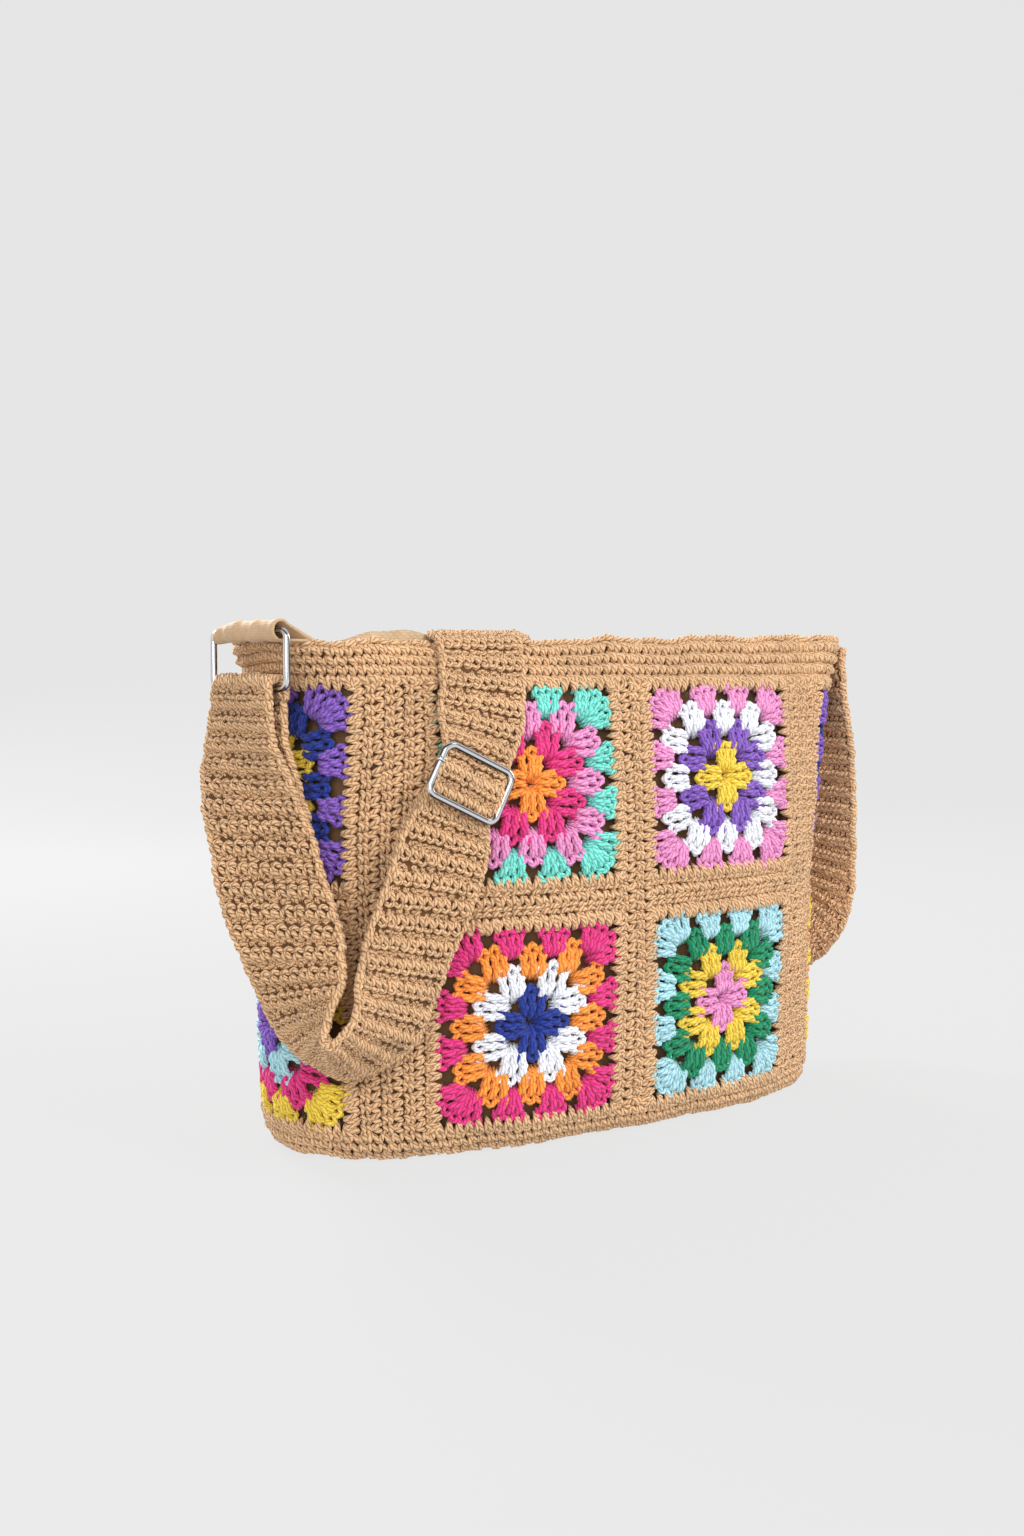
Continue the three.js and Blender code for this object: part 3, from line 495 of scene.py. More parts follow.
# One tall stitch: along its height as a share, sideways in mm, and out in mm. Two plies
# cross as they rise, two are wrapped round them, and two make the chain on the head.
POST = np.array([
    [(0.00, -0.7, -1.6), (0.22, -0.9, 0.4), (0.48, -0.2, 0.9), (0.72, 0.8, 0.3),
     (0.92, 1.2, -0.9)],
    [(0.00, 0.8, -1.8), (0.26, 0.9, 0.0), (0.50, 0.2, -0.1), (0.74, -0.9, 0.7),
     (0.94, -1.4, -0.6)],
    [(0.10, -1.6, -1.2), (0.24, -0.9, 0.9), (0.36, 0.1, 1.4), (0.48, 1.1, 1.0),
     (0.58, 1.8, -0.6)],
    [(0.42, -1.9, -1.0), (0.55, -1.2, 0.9), (0.67, -0.1, 1.4), (0.78, 1.0, 1.0),
     (0.88, 1.8, -0.6)],
    [(0.74, -2.6, -1.4), (0.89, -2.2, 0.6), (1.01, -1.1, 1.5), (1.05, 0.2, 1.2),
     (1.01, 1.0, -0.4)],
    [(1.02, -1.0, -0.6), (1.06, -0.1, 1.0), (1.01, 1.1, 1.5), (0.89, 2.2, 0.6),
     (0.74, 2.6, -1.4)],
])
# The radius of a fan's yarn, which is a little fuller than the rows'.
FAN_YARN = 1.45


def fan_lines(round_index):
    """Foot and head of each tall stitch of a round, as (stitches, 2) arrays about the
    square's middle. Side k is the first side turned by k quarters."""
    number = round_index + 1
    foot = np.stack([FAN_FEET[round_index], np.full(number, FAN_START[round_index])], -1)
    head = np.stack([FAN_HEADS[round_index], np.full(number, FAN_END[round_index])], -1)
    lean = unit(head - foot)
    side = np.stack([lean[:, 1], -lean[:, 0]], -1)
    post = np.array([-1.0, 0.0, 1.0])
    feet = foot[:, None] + side[:, None] * (FEET_APART[round_index] * post)[:, None]
    heads = (head[:, None] + side[:, None] * (HEADS_APART[round_index] * post)[:, None]
             - lean[:, None] * (0.5 * np.abs(post))[:, None])
    feet, heads = feet.reshape(-1, 2), heads.reshape(-1, 2)
    turns = np.pi / 2 * np.arange(4)
    spin = np.array([[np.cos(turns), np.sin(turns)], [-np.sin(turns), np.cos(turns)]])
    return (np.einsum("abk,nb->kna", spin, feet).reshape(-1, 2),
            np.einsum("abk,nb->kna", spin, heads).reshape(-1, 2))


def fans(cloth, middle, round_index, chance):
    """The tall stitches of one round: each strand's points lie along the line from
    foot to head, moved sideways and out as POST says, and the whole fan is crowned by
    1.5 mm times a sine."""
    feet, heads = fan_lines(round_index)
    feet = feet + chance.normal(0, 0.35, feet.shape)
    heads = heads + chance.normal(0, 0.45, heads.shape)
    line = heads - feet
    side = unit(np.stack([line[:, 1], -line[:, 0]], -1))
    share, aside, out = POST[..., 0], POST[..., 1], POST[..., 2]
    flat = (feet[:, None, None] + line[:, None, None] * share[..., None]
            + side[:, None, None] * aside[..., None]) * [1, SQUARE_HEIGHT / SQUARE]
    place, normal = cloth(middle[0] + flat[..., 0], middle[1] + flat[..., 1])
    crown = 1.5 * np.sin(np.pi * np.clip(share, 0, 1)) - 1.5
    stray = chance.normal(0, 0.2, (len(feet), 1, 1))
    place = place + (out + crown + stray)[..., None] * normal
    return yarn_strands(place.reshape(-1, 5, 3), normal.reshape(-1, 5, 3), FAN_YARN, chance,
                        finish=round_index)


for (column, tier), yarns in ROUNDS.items():
    middle = (COLUMNS[column] + SQUARE / 2, TIERS[tier] + SQUARE_HEIGHT / 2)
    parts = [fans(wall_cloth, middle, k, chance) for k in range(len(yarns))]
    tier_name = ("lower", "upper")[tier]
    square = add_piece(f"granny_{column}_{tier_name}", parts, [YARNS[name] for name in yarns])
    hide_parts(f"square_{column}_{tier_name}")


# The tan strips. Rows of plain crochet are worked onto each square's edge, which they
# grip with longer legs, and joined. The upright strips' rows run up, and those of the
# short ones between the tiers run along.

# How far the strips' rows reach over a square's edge.
POKE = 1.3
# A longer leg, whose foot is inside the square.
GRIP_LEG = np.array([(-0.03, -0.95, -1.6), (-0.08, -0.62, 0.9), (-0.18, -0.22, 1.6),
                     (-0.33, 0.20, 1.2), (-0.46, 0.60, -0.5)])
GRIP = np.stack([GRIP_LEG, GRIP_LEG * [-1, 1, 1]])
GRIP_YARN = 1.2


def sideways(cloth):
    """The same cloth with its rows running up instead of along."""
    return lambda x, y: cloth(y, x)


def slab(cloth, xs, ys, outer, inner, finish=0):
    """A closed piece of cloth between two skins at stands outer and inner, on the grid
    of xs and ys, with a wall round its edge."""
    x, y = np.meshgrid(xs, ys, indexing="ij")
    place, out = cloth(x, y)
    points = np.stack([place + outer * out, place + inner * out]).reshape(-1, 3)
    index = np.arange(2 * x.size).reshape((2,) + x.shape)

    def skin(k):
        return np.stack([k[:-1, :-1], k[1:, :-1], k[1:, 1:], k[:-1, 1:]], -1).reshape(-1, 4)

    def edge(near, far):
        return np.stack([near[:-1], far[:-1], far[1:], near[1:]], -1)

    front, back = index
    quads = np.concatenate([
        skin(front), skin(back)[:, ::-1],
        edge(front[:, 0], back[:, 0]), edge(back[:, -1], front[:, -1]),
        edge(back[0], front[0]), edge(front[-1], back[-1]),
    ])
    flat_map = np.zeros(quads.shape + (2,))
    return points, np.zeros(len(points)), [(quads, flat_map, finish)]


def grips(cloth, x_range, edge, direction, chance):
    """Tan legs along one edge of a square, with their feet inside it."""
    count = round((x_range[1] - x_range[0]) / STITCH)
    width = (x_range[1] - x_range[0]) / count
    x = x_range[0] + (np.arange(count) + 0.5) * width
    return crochet(cloth, x, np.full(count, edge), width, ROW, GRIP * [1, direction, 1], chance,
                   LIFT, yarn=GRIP_YARN)


for tier, low in enumerate(TIERS):
    grip_parts = []
    for start in COLUMNS.values():
        across, upward = (start, start + SQUARE), (low, low + SQUARE_HEIGHT)
        grip_parts += [grips(wall_cloth, across, upward[0], -1, chance),
                       grips(wall_cloth, across, upward[1], 1, chance),
                       grips(sideways(wall_cloth), upward, across[0], -1, chance),
                       grips(sideways(wall_cloth), upward, across[1], 1, chance)]
    gripping = add_piece(f"square_edging_{tier}", grip_parts, [tan_yarn])

names = list(COLUMNS)
for k, column in enumerate(names):
    left = COLUMNS[column] + SQUARE
    right = COLUMNS[names[(k + 1) % len(names)]] + (GIRTH if k == len(names) - 1 else 0)
    low, high = BASE_BAND, HEIGHT - RIM_BAND
    parts = plain_rows(sideways(wall_cloth), (low, high), (left - POKE, right + POKE), chance,
                       start=k)
    upright = add_piece(f"upright_crochet_{column}", parts, [tan_yarn])
    # The core behind the rows, whose darker tan is painted shade.
    core = add_piece(f"upright_core_{column}", [slab(
        wall_cloth, np.linspace(left, right, 9), np.linspace(low, high, 41), CORE_OUT, CORE_IN)],
        [shaded_core_yarn])
    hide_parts(f"upright_strip_after_{column}")
    left, right = COLUMNS[column], COLUMNS[column] + SQUARE
    low, high = BASE_BAND + SQUARE_HEIGHT, TIERS[1]
    parts = plain_rows(wall_cloth, (left, right), (low - POKE, high + POKE * 0.4), chance)
    tier_rows = add_piece(f"tier_crochet_{column}", parts, [tan_yarn])
    # The core behind the rows, whose darker tan is painted shade.
    tier_core = add_piece(f"tier_core_{column}", [slab(
        wall_cloth, np.linspace(left, right, 21), np.linspace(low, high, 5), CORE_OUT, CORE_IN)],
        [shaded_core_yarn])
    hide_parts(f"tier_strip_{column}")


# The rim band. Four rounds of plain crochet close the top, and a chain of slip
# stitches is worked along their edge, which gives it a braided look.
RIM_STITCH = 4.1
RIM_SWELL = 2.8
RIM_TOP = HEIGHT - 1.0


def rim_cloth(x, y):
    """The rim's rounded top: x mm along the girth, y mm over the edge from outside,
    on half a circle whose radius is half the wall's thickness less 0.4 mm."""
    x, y = np.broadcast_arrays(x, y)
    place, out = wall_cloth(x, np.full(x.shape, RIM_TOP))
    turn = y / (WALL / 2)
    up = np.array([0.0, 0.0, 1.0])
    normal = out * np.cos(turn)[..., None] + up * np.sin(turn)[..., None]
    middle = place - out * WALL / 2
    return middle + normal * (WALL / 2 - 0.4), normal


rim_parts = plain_rows(wall_cloth, (0, GIRTH), (HEIGHT - RIM_BAND - POKE, RIM_TOP), chance,
                       turned=False, swell=RIM_SWELL, stitch_width=RIM_STITCH)
LINK = 5.6
link_count = round(GIRTH / LINK)
# A chain's link, seen from above: two leaves that lean in to meet.
CHAIN = np.array([
    [(-0.62, 0.10, -0.9), (-0.30, 0.42, 0.35), (0.02, 0.60, 0.6), (0.34, 0.55, 0.2),
     (0.60, 0.15, -0.9)],
    [(-0.62, -0.10, -0.9), (-0.30, -0.42, 0.35), (0.02, -0.60, 0.6), (0.34, -0.55, 0.2),
     (0.60, -0.15, -0.9)],
])
links = (np.arange(link_count) + 0.5) * GIRTH / link_count
# Two chains lie side by side on the edge, at these distances over it.
for over, size in ((0.5, 3.0), (3.1, 3.2)):
    rim_parts.append(crochet(rim_cloth, links, np.full(link_count, over), GIRTH / link_count, size,
                             CHAIN, chance, lift=0.1, yarn=1.4))
# A round of low stitches closes the edge on its inside.
INNER_STITCHES = 160
inner_x = (np.arange(INNER_STITCHES) + 0.5) * GIRTH / INNER_STITCHES
rim_parts.append(crochet(rim_cloth, inner_x, np.full(INNER_STITCHES, 5.4), GIRTH / INNER_STITCHES,
                         3.0, FRONT, chance))
rim = add_piece("rim_crochet", rim_parts, [tan_yarn])
# The core behind the rim's rows, whose darker tan is painted shade.
rim_core = add_piece("rim_core", [slab(
    wall_cloth, girth_points, np.linspace(HEIGHT - RIM_BAND, HEIGHT - 1.2, 5),
    CORE_OUT, CORE_IN)], [shaded_core_yarn], merge=True)
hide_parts("rim_band")


# The lining: a bag of plain-woven tan cotton, sewn in just under the rim. It is seen at
# the mouth and, in the shade, through the gaps of the squares.
def woven_cotton(name, hexa, shade_and_grain_colour):
    """Plain-woven cotton: threads over and under, and soft creases in painted shade. It is
    darker below the rim than at it, painted shade where it lies behind the wall. Its bands are
    1.2 mm apart up the cloth and 3 mm along it, coarser than real threads so that they show."""
    material = bpy.data.materials.new(name)
    material.use_nodes = True
    tree = material.node_tree
    shader = tree.nodes["Principled BSDF"]
    shader.inputs["Roughness"].default_value = 0.82
    shader.inputs["Sheen Weight"].default_value = 0.2
    shader.inputs["Specular IOR Level"].default_value = 0.25
    body = add_node(tree, "ShaderNodeTexCoord")
    crease = add_node(tree, "ShaderNodeTexNoise", values={"Scale": 60.0, "Detail": 4.0},
                      links={"Vector": body.outputs["Object"]})
    weft = add_node(tree, "ShaderNodeTexWave", wave_type="BANDS", bands_direction="Z",
                    values={"Scale": 256.0, "Distortion": 0.6},
                    links={"Vector": body.outputs["Object"]})
    warp = add_node(tree, "ShaderNodeTexWave", wave_type="BANDS", bands_direction="DIAGONAL",
                    values={"Scale": 208.0, "Distortion": 0.6},
                    links={"Vector": body.outputs["Object"]})
    weave = add_node(tree, "ShaderNodeMath", operation="MULTIPLY",
                     links={0: weft.outputs["Fac"], 1: warp.outputs["Fac"]})
    height = add_node(tree, "ShaderNodeMath", operation="MULTIPLY_ADD",
                      values={1: 0.25}, links={0: weave.outputs[0], 2: crease.outputs["Fac"]})
    place = add_node(tree, "ShaderNodeSeparateXYZ", links={0: body.outputs["Object"]})
    # Painted shade: below the rim the cloth takes its darker colour, at the rim its lighter one.
    lit_at_rim = add_node(tree, "ShaderNodeMapRange", interpolation_type="SMOOTHSTEP",
                     values={"From Min": 0.2, "From Max": 0.234, "To Min": 0.0},
                     links={"Value": place.outputs["Z"]})
    tone = add_node(tree, "ShaderNodeMath", operation="MULTIPLY",
                    links={0: height.outputs[0], 1: lit_at_rim.outputs[0]})
    colour = add_node(tree, "ShaderNodeMix", data_type="RGBA",
                      values={6: linear(shade_and_grain_colour), 7: linear(hexa)}, links={0: tone.outputs[0]})
    relief = add_node(tree, "ShaderNodeBump", values={"Strength": 0.5, "Distance": 0.0006},
                      links={"Height": height.outputs[0]})
    tree.links.new(colour.outputs[2], shader.inputs["Base Color"])
    tree.links.new(relief.outputs[0], shader.inputs["Normal"])
    return material


# The lining's darker colour is painted shade below the rim and in its creases, and partly its
# weave.
lining_cotton = woven_cotton("tan_lining_cotton", "e6c9a2", "7d5c3c")
LINING = 1.0
LINING_OUT = -(WALL + 1.0)
LINING_IN = LINING_OUT - LINING
# The heights of the lining's floor, under and over, above the bag's own underside.
FLOOR_UNDER = 3.4
FLOOR_OVER = 4.3


def lining_cloth(x, y):
    """The lining follows the wall, with soft folds that deepen upward. y runs from 0
    at its foot to 1 at its top, which rises over the rim near one corner."""
    x, y = np.broadcast_arrays(x, y)
    top = HEIGHT - 2.0 + 8.2 * bump(x % GIRTH, 76, 42)
    height = 5.0 + y * (top - 5.0)
    place, out = wall_cloth(x, height)
    turn = 2 * np.pi * x / GIRTH
    fold = (0.5 * np.sin(13 * turn + 2 * y) + 0.3 * np.sin(31 * turn - 1)) * y
    return place - (0.6 + np.abs(fold))[..., None] * out, out


def lining_ring(at, y, stand):
    """The lining's points at one share of its height, moved out of it by stand."""
    place, out = lining_cloth(at, np.full(len(at), y))
    return place + stand * out


lining_points = np.linspace(0, GIRTH, 361)
floor_insets = np.linspace(8, half_depth, 8)
rings = [sole_ring(lining_points, inset, FLOOR_UNDER) for inset in floor_insets[::-1]]
rings += [lining_ring(lining_points, y, LINING_OUT) for y in np.linspace(0.012, 1, 40)]
rings += [lining_ring(lining_points, y, LINING_IN) for y in np.linspace(1, 0.015, 40)]
rings += [sole_ring(lining_points, inset, FLOOR_OVER) for inset in floor_insets]
lining = add_piece("lining_cotton_bag", [ring_skin(rings)], [lining_cotton], merge=True)
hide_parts("lining")


# The ring: a rectangle of bright chromed wire, bent and welded, that hangs by its upper
# bar at the left end of the rim.
WIRE = 3.2
WIRE_SIDES = 14
RING_WIDTH = 54.0
RING_HEIGHT = 25.5
# Where its upper bar is: out from the wall, above the rim, and toward the front.
RING_STAND = 7.5
RING_ABOVE_RIM = 6.5
RING_TO_FRONT = 9.5
# How far the ring is turned from the gusset toward the front, in degrees.
RING_TURN = 10.7


def chromed_wire():
    """Bright chrome on steel wire: a mirror with a painted reflection, narrow darker bands
    along the wire that follow how far it faces up, to the side and to the back of the bag."""
    material = bpy.data.materials.new("chromed_steel_wire")
    material.use_nodes = True
    tree = material.node_tree
    shader = tree.nodes["Principled BSDF"]
    shader.inputs["Metallic"].default_value = 1.0
    shader.inputs["Roughness"].default_value = 0.12
    body = add_node(tree, "ShaderNodeTexCoord")
    facing = add_node(tree, "ShaderNodeSeparateXYZ", links={0: body.outputs["Normal"]})
    lean = add_node(tree, "ShaderNodeMath", operation="MULTIPLY_ADD",
                    values={1: 0.8}, links={0: facing.outputs["Y"], 2: facing.outputs["X"]})
    turn = add_node(tree, "ShaderNodeMath", operation="MULTIPLY_ADD",
                    values={1: 1.3}, links={0: facing.outputs["Z"], 2: lean.outputs[0]})
    bands = add_node(tree, "ShaderNodeMath", operation="MULTIPLY",
                     values={1: 4.2}, links={0: turn.outputs[0]})
    wave = add_node(tree, "ShaderNodeMath", operation="SINE", links={0: bands.outputs[0]})
    share = add_node(tree, "ShaderNodeMapRange", interpolation_type="SMOOTHSTEP", values={
        "From Min": -0.9, "From Max": -0.1}, links={"Value": wave.outputs[0]})
    # The base colour is a painted reflection: dark grey bands for the dim room, pale between them.
    colour = add_node(tree, "ShaderNodeMix", data_type="RGBA",
                      values={6: linear("4a4b50"), 7: linear("e6e7ea")},
                      links={0: share.outputs[0]})
    tree.links.new(colour.outputs[2], shader.inputs["Base Color"])
    return material


def wire_loop(centre, along, up, width, height):
    """A closed rectangle of round wire: a path of straight bars and quarter bends, with
    a ring of points at each step of it, in the plane of along and up."""
    bend, radius, sides = WIRE * 1.3, WIRE / 2, WIRE_SIDES
    corners = []
    for k, (sx, sy) in enumerate(((1, 1), (-1, 1), (-1, -1), (1, -1))):
        turn = np.pi / 2 * (k + np.linspace(0, 1, 9))
        corners.append(np.stack([sx * (width / 2 - bend) + bend * np.cos(turn),
                                 sy * (height / 2 - bend) + bend * np.sin(turn)], -1))
    flat = np.concatenate(corners)
    run = unit(np.roll(flat, -1, 0) - np.roll(flat, 1, 0))
    outward = np.stack([run[:, 1], -run[:, 0]], -1)
    turn = 2 * np.pi * np.arange(sides) / sides
    face = np.cross(along, up)
    basis = np.stack([along, up])
    points = (centre + (flat @ basis)[:, None] + radius * (
        (outward @ basis)[:, None] * np.cos(turn)[:, None] + face * np.sin(turn)[:, None]))
    count = len(flat)
    i = np.arange(count)[:, None]
    j = np.arange(sides)[None]
    near, far = i * sides, (i + 1) % count * sides
    quads = np.stack([near + j, far + j, far + (j + 1) % sides, near + (j + 1) % sides], -1)
    quads = quads.reshape(-1, 4)
    flat_map = np.zeros(quads.shape + (2,))
    return points.reshape(-1, 3), np.zeros(count * sides), [(quads, flat_map, 0)]


chrome = chromed_wire()
ring_around = RING_TO_FRONT / GIRTH
rim_left = wall_place(np.array(ring_around), np.array(HEIGHT))
level_along = unit(wall_place(np.array(ring_around + 0.002), np.array(HEIGHT))
                   - wall_place(np.array(ring_around - 0.002), np.array(HEIGHT)))
level_along[2] = 0.0
level_out = np.array([level_along[1], -level_along[0], 0.0])
ring_turn = np.radians(RING_TURN)
along_ring = np.cos(ring_turn) * level_along - np.sin(ring_turn) * level_out
out_ring = np.array([along_ring[1], -along_ring[0], 0.0])
up = np.array([0.0, 0.0, 1.0])
upper_bar = rim_left + level_out * RING_STAND + up * RING_ABOVE_RIM
ring = add_piece("ring_wire", [wire_loop(upper_bar - up * RING_HEIGHT / 2, along_ring, up,
                                         RING_WIDTH, RING_HEIGHT)], [chrome])
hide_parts("ring")


# The ring's tab: a folded strip of tan cotton, sewn inside the rim, that goes over it
# and round the ring's upper bar.
# The tab's darker colour is painted shade in its creases, and partly its weave.
tab_cotton = woven_cotton("tan_tab_cotton", "d3b48f", "a98761")
TAB_WIDTH = 47.0
TAB_ROOM = 2.0
TAB_THICKNESS = 1.2
# Where it lies on the wall before it leaves for the bar: mm out of it, height, and lift.
TAB_ON_WALL = ((-8.3, HEIGHT - 16, 0.0), (-8.0, HEIGHT - 5, 0.0), (-6.5, HEIGHT, 1.0),
               (-3.0, HEIGHT, 1.6), (0.0, HEIGHT, 2.2))


def tab_cloth(x, y):
    """The tab: x mm along the bar, y from 0 inside the rim to 1 back at the rim's top.
    Its route is a line of points, some on the wall and the rest round the bar, and it is
    read between them by the share of its length. Its far end is drawn in to the bar and
    droops, and the whole is puckered by two crossing waves."""
    x, y = np.broadcast_arrays(x, y)
    aside = x.ravel()
    around = ring_around + aside / GIRTH
    far = np.clip((-aside - 6) / 18, 0, 1) ** 2
    reach = (WIRE / 2 + TAB_ROOM + TAB_THICKNESS / 2) * (1 - 0.42 * far)[:, None]
    droop = 2.2 * far
    route = []
    for stand, height, lift in TAB_ON_WALL:
        place, out = wall_cloth(around * GIRTH, np.full(aside.shape, height))
        route.append(place + stand * out + lift * up)
    bar = upper_bar + aside[:, None] * along_ring - droop[:, None] * up
    for turn in np.radians(np.linspace(140, -100, 15)):
        route.append(bar + reach * (np.cos(turn) * out_ring + np.sin(turn) * up))
    place, out = wall_cloth(around * GIRTH, np.full(aside.shape, HEIGHT))
    route.append(place - 0.5 * out + 1.0 * up)
    route = np.array(route)
    steps = np.linalg.norm(np.diff(route, axis=0), axis=-1).mean(1)
    run = np.concatenate([[0], np.cumsum(steps)]) / steps.sum()
    at = y.ravel()
    k = np.clip(np.searchsorted(run, at) - 1, 0, len(run) - 2)
    share = ((at - run[k]) / (run[k + 1] - run[k]))[:, None]
    index = np.arange(len(aside))
    place = (1 - share) * route[k, index] + share * route[k + 1, index]
    ahead = route[np.minimum(k + 2, len(run) - 1), index]
    forward = unit(ahead - route[np.maximum(k - 1, 0), index])
    normal = unit(np.cross(forward, along_ring))
    pucker = 0.3 * np.sin(aside * 0.42 + 7 * at) + 0.2 * np.sin(aside * 0.9 - 9 * at)
    place = place + pucker[:, None] * normal
    return place.reshape(x.shape + (3,)), -normal.reshape(x.shape + (3,))


tab = add_piece("ring_tab_cotton", [slab(
    tab_cloth, np.linspace(-TAB_WIDTH / 2, TAB_WIDTH / 2, 45), np.linspace(0, 1, 61),
    TAB_THICKNESS / 2, -TAB_THICKNESS / 2)], [tab_cotton])
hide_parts("ring_tab")


# The strap: one long strip of tan crochet, ridged every two rows, sewn to the rim at
# the right end. It runs behind, over the mouth and down the front to the ring at the
# left, and its tail comes back under it to the slide buckle.
STRAP_WIDTH = 40.5
STRAP_THICKNESS = 4.6
SEAT = 0.3
# Each row on the wall: share of GIRTH, share of HEIGHT, layers off the wall, then the
# direction across the strap as parts along, up and out.
RIGHT_HANG = [
    (0.480, 0.985, 0.5, 1.00, 0.00, 0.00),
    (0.480, 0.950, 1.1, 1.00, 0.00, 0.00),
    (0.481, 0.880, 2.6, 1.00, 0.00, 0.00),
    (0.484, 0.775, 4.4, 1.00, 0.00, 0.00),
    (0.488, 0.655, 5.7, 1.00, 0.00, 0.00),
    (0.492, 0.530, 6.5, 1.00, 0.05, 0.05),
    (0.497, 0.425, 7.3, 0.97, 0.10, 0.15),
    (0.506, 0.330, 7.8, 0.85, 0.22, 0.40),
    (0.522, 0.252, 7.2, 0.55, 0.40, 0.68),
    (0.549, 0.218, 6.2, 0.00, 0.52, 0.85),
]
BACK_RUN = [
    (0.574, 0.255, 5.1, -0.55, 0.50, 0.65),
    (0.595, 0.330, 3.5, -0.76, 0.55, 0.30),
    (0.614, 0.425, 2.0, -0.80, 0.58, 0.08),
    (0.640, 0.548, 0.9, -0.80, 0.58, 0.00),
    (0.672, 0.672, 0.8, -0.83, 0.52, 0.00),
    (0.704, 0.793, 0.9, -0.90, 0.38, 0.00),
    (0.735, 0.902, 0.9, -0.97, 0.20, 0.00),
    (0.752, 0.955, 0.8, -1.00, 0.00, 0.00),
]
FRONT_RUN = [
    (0.1475, 0.975, 0.6, 1.00, 0.00, 0.00),
    (0.1445, 0.905, 0.6, 1.00, -0.10, 0.00),
    (0.1410, 0.840, 0.8, 0.97, -0.24, 0.00),
    (0.1362, 0.780, 1.5, 0.92, -0.40, 0.00),
    (0.1312, 0.745, 2.6, 0.89, -0.45, 0.00),
    (0.1277, 0.712, 2.6, 0.89, -0.45, 0.00),
    (0.1230, 0.674, 1.7, 0.92, -0.40, 0.00),
    (0.1165, 0.605, 1.8, 0.95, -0.28, -0.05),
    (0.1085, 0.523, 2.1, 0.96, -0.18, -0.12),
    (0.0990, 0.441, 2.8, 0.94, -0.16, -0.28),
    (0.0915, 0.361, 3.8, 0.84, -0.24, -0.48),
    (0.0835, 0.274, 4.8, 0.58, -0.40, -0.70),
    (0.0630, 0.227, 5.4, 0.00, -0.52, -0.85),
]
# How wide the strap is at each row of FRONT_RUN, where the slide buckle gathers it,
# and of LEFT_RUN, where it lies slack.
FRONT_WIDTHS = (1.0, 1.0, 1.0, 0.78, 0.76, 0.76, 0.78, 1.0, 1.0, 1.0, 1.0, 1.0, 1.0)
LEFT_RUN = [
    (0.0510, 0.276, 5.0, -0.66, -0.40, -0.58),
    (0.0475, 0.362, 4.8, -0.94, -0.15, -0.10),
    (0.0420, 0.443, 4.6, -0.96, -0.03, 0.20),
    (0.0348, 0.532, 4.4, -0.90, 0.00, 0.42),
    (0.0285, 0.624, 4.4, -0.88, 0.00, 0.48),
    (0.0225, 0.690, 4.5, -0.89, 0.00, 0.45),
    (0.0175, 0.745, 4.4, -0.93, 0.00, 0.36),
    (0.0135, 0.800, 4.4, -0.96, 0.00, 0.28),
]
LEFT_WIDTHS = (1.03, 1.10, 1.17, 1.17, 1.13, 1.12, 1.12, 1.06)
# The row of FRONT_RUN, counted from 1, that the buckle's bar is on. The tail starts at
# the next row.
TAIL_START = 5


def wall_frame(around, height):
    """A point of the smooth wall with its level directions, along and out."""
    around, height = np.asarray(around, float), np.asarray(height, float)
    along = wall_place(around + 0.002, height) - wall_place(around - 0.002, height)
    along = unit(along * [1.0, 1.0, 0.0])
    out = np.stack([along[..., 1], -along[..., 0], np.zeros_like(around)], -1)
    return wall_place(around, height), along, out


def layer_stand(layers):
    """How far the middle of a strap layer stands off the wall."""
    return layers * STRAP_THICKNESS + (layers + 0.5) * SEAT


def wall_rows(rows):
    """Places and across directions of rows on the wall."""
    around, high, layers, a, u, o = np.array(rows).T
    place, along, out = wall_frame(around, high * HEIGHT)
    across = unit(a[:, None] * along + o[:, None] * out + u[:, None] * [0, 0, 1])
    return place + layer_stand(layers)[:, None] * out, across


def rim_rows(around, side):
    """Two rows that carry the strap round the rim's outer edge, and one over its top."""
    reach = layer_stand(0.5)
    place, along, out = wall_frame(around, HEIGHT)
    turn = np.array([0.15, 0.85, np.pi / 2])
    inward = np.array([0, 0, -WALL / 2])
    places = place + (reach * np.cos(turn) + inward)[:, None] * out
    places[:, 2] = place[2] + reach * np.sin(turn)
    return places, np.repeat((along * side)[None], 3, 0)


BAR_ROOM = WIRE + 2 * SEAT + STRAP_THICKNESS
right = wall_rows(RIGHT_HANG)
back = wall_rows(BACK_RUN)
over_back = rim_rows(BACK_RUN[-1][0] + 0.012, -1)
over_front = [part[::-1] for part in rim_rows(FRONT_RUN[0][0] + 0.0005, 1)]
front = wall_rows(FRONT_RUN)
left = wall_rows(LEFT_RUN)
lower_bar = upper_bar - up * RING_HEIGHT
under_ring = lower_bar + BAR_ROOM / 2 * out_ring - 2 * BAR_ROOM / 3 * up
left = np.concatenate([left[0], under_ring[None]]), np.concatenate([left[1], -along_ring[None]])
bar_turn = np.linspace(0, np.pi, 5)
fold_place = lower_bar + BAR_ROOM / 2 * (np.cos(bar_turn)[:, None] * out_ring
                                         + np.sin(bar_turn)[:, None] * up)
fold_place = np.concatenate([fold_place, under_ring[None] - BAR_ROOM * out_ring])
fold = fold_place, np.repeat(-along_ring[None], 6, 0)
route = [right, back, over_back, over_front, front, left, fold]
route_place = np.concatenate([part[0] for part in route])
route_across = np.concatenate([part[1] for part in route])
ends = np.cumsum([len(part[0]) for part in route])


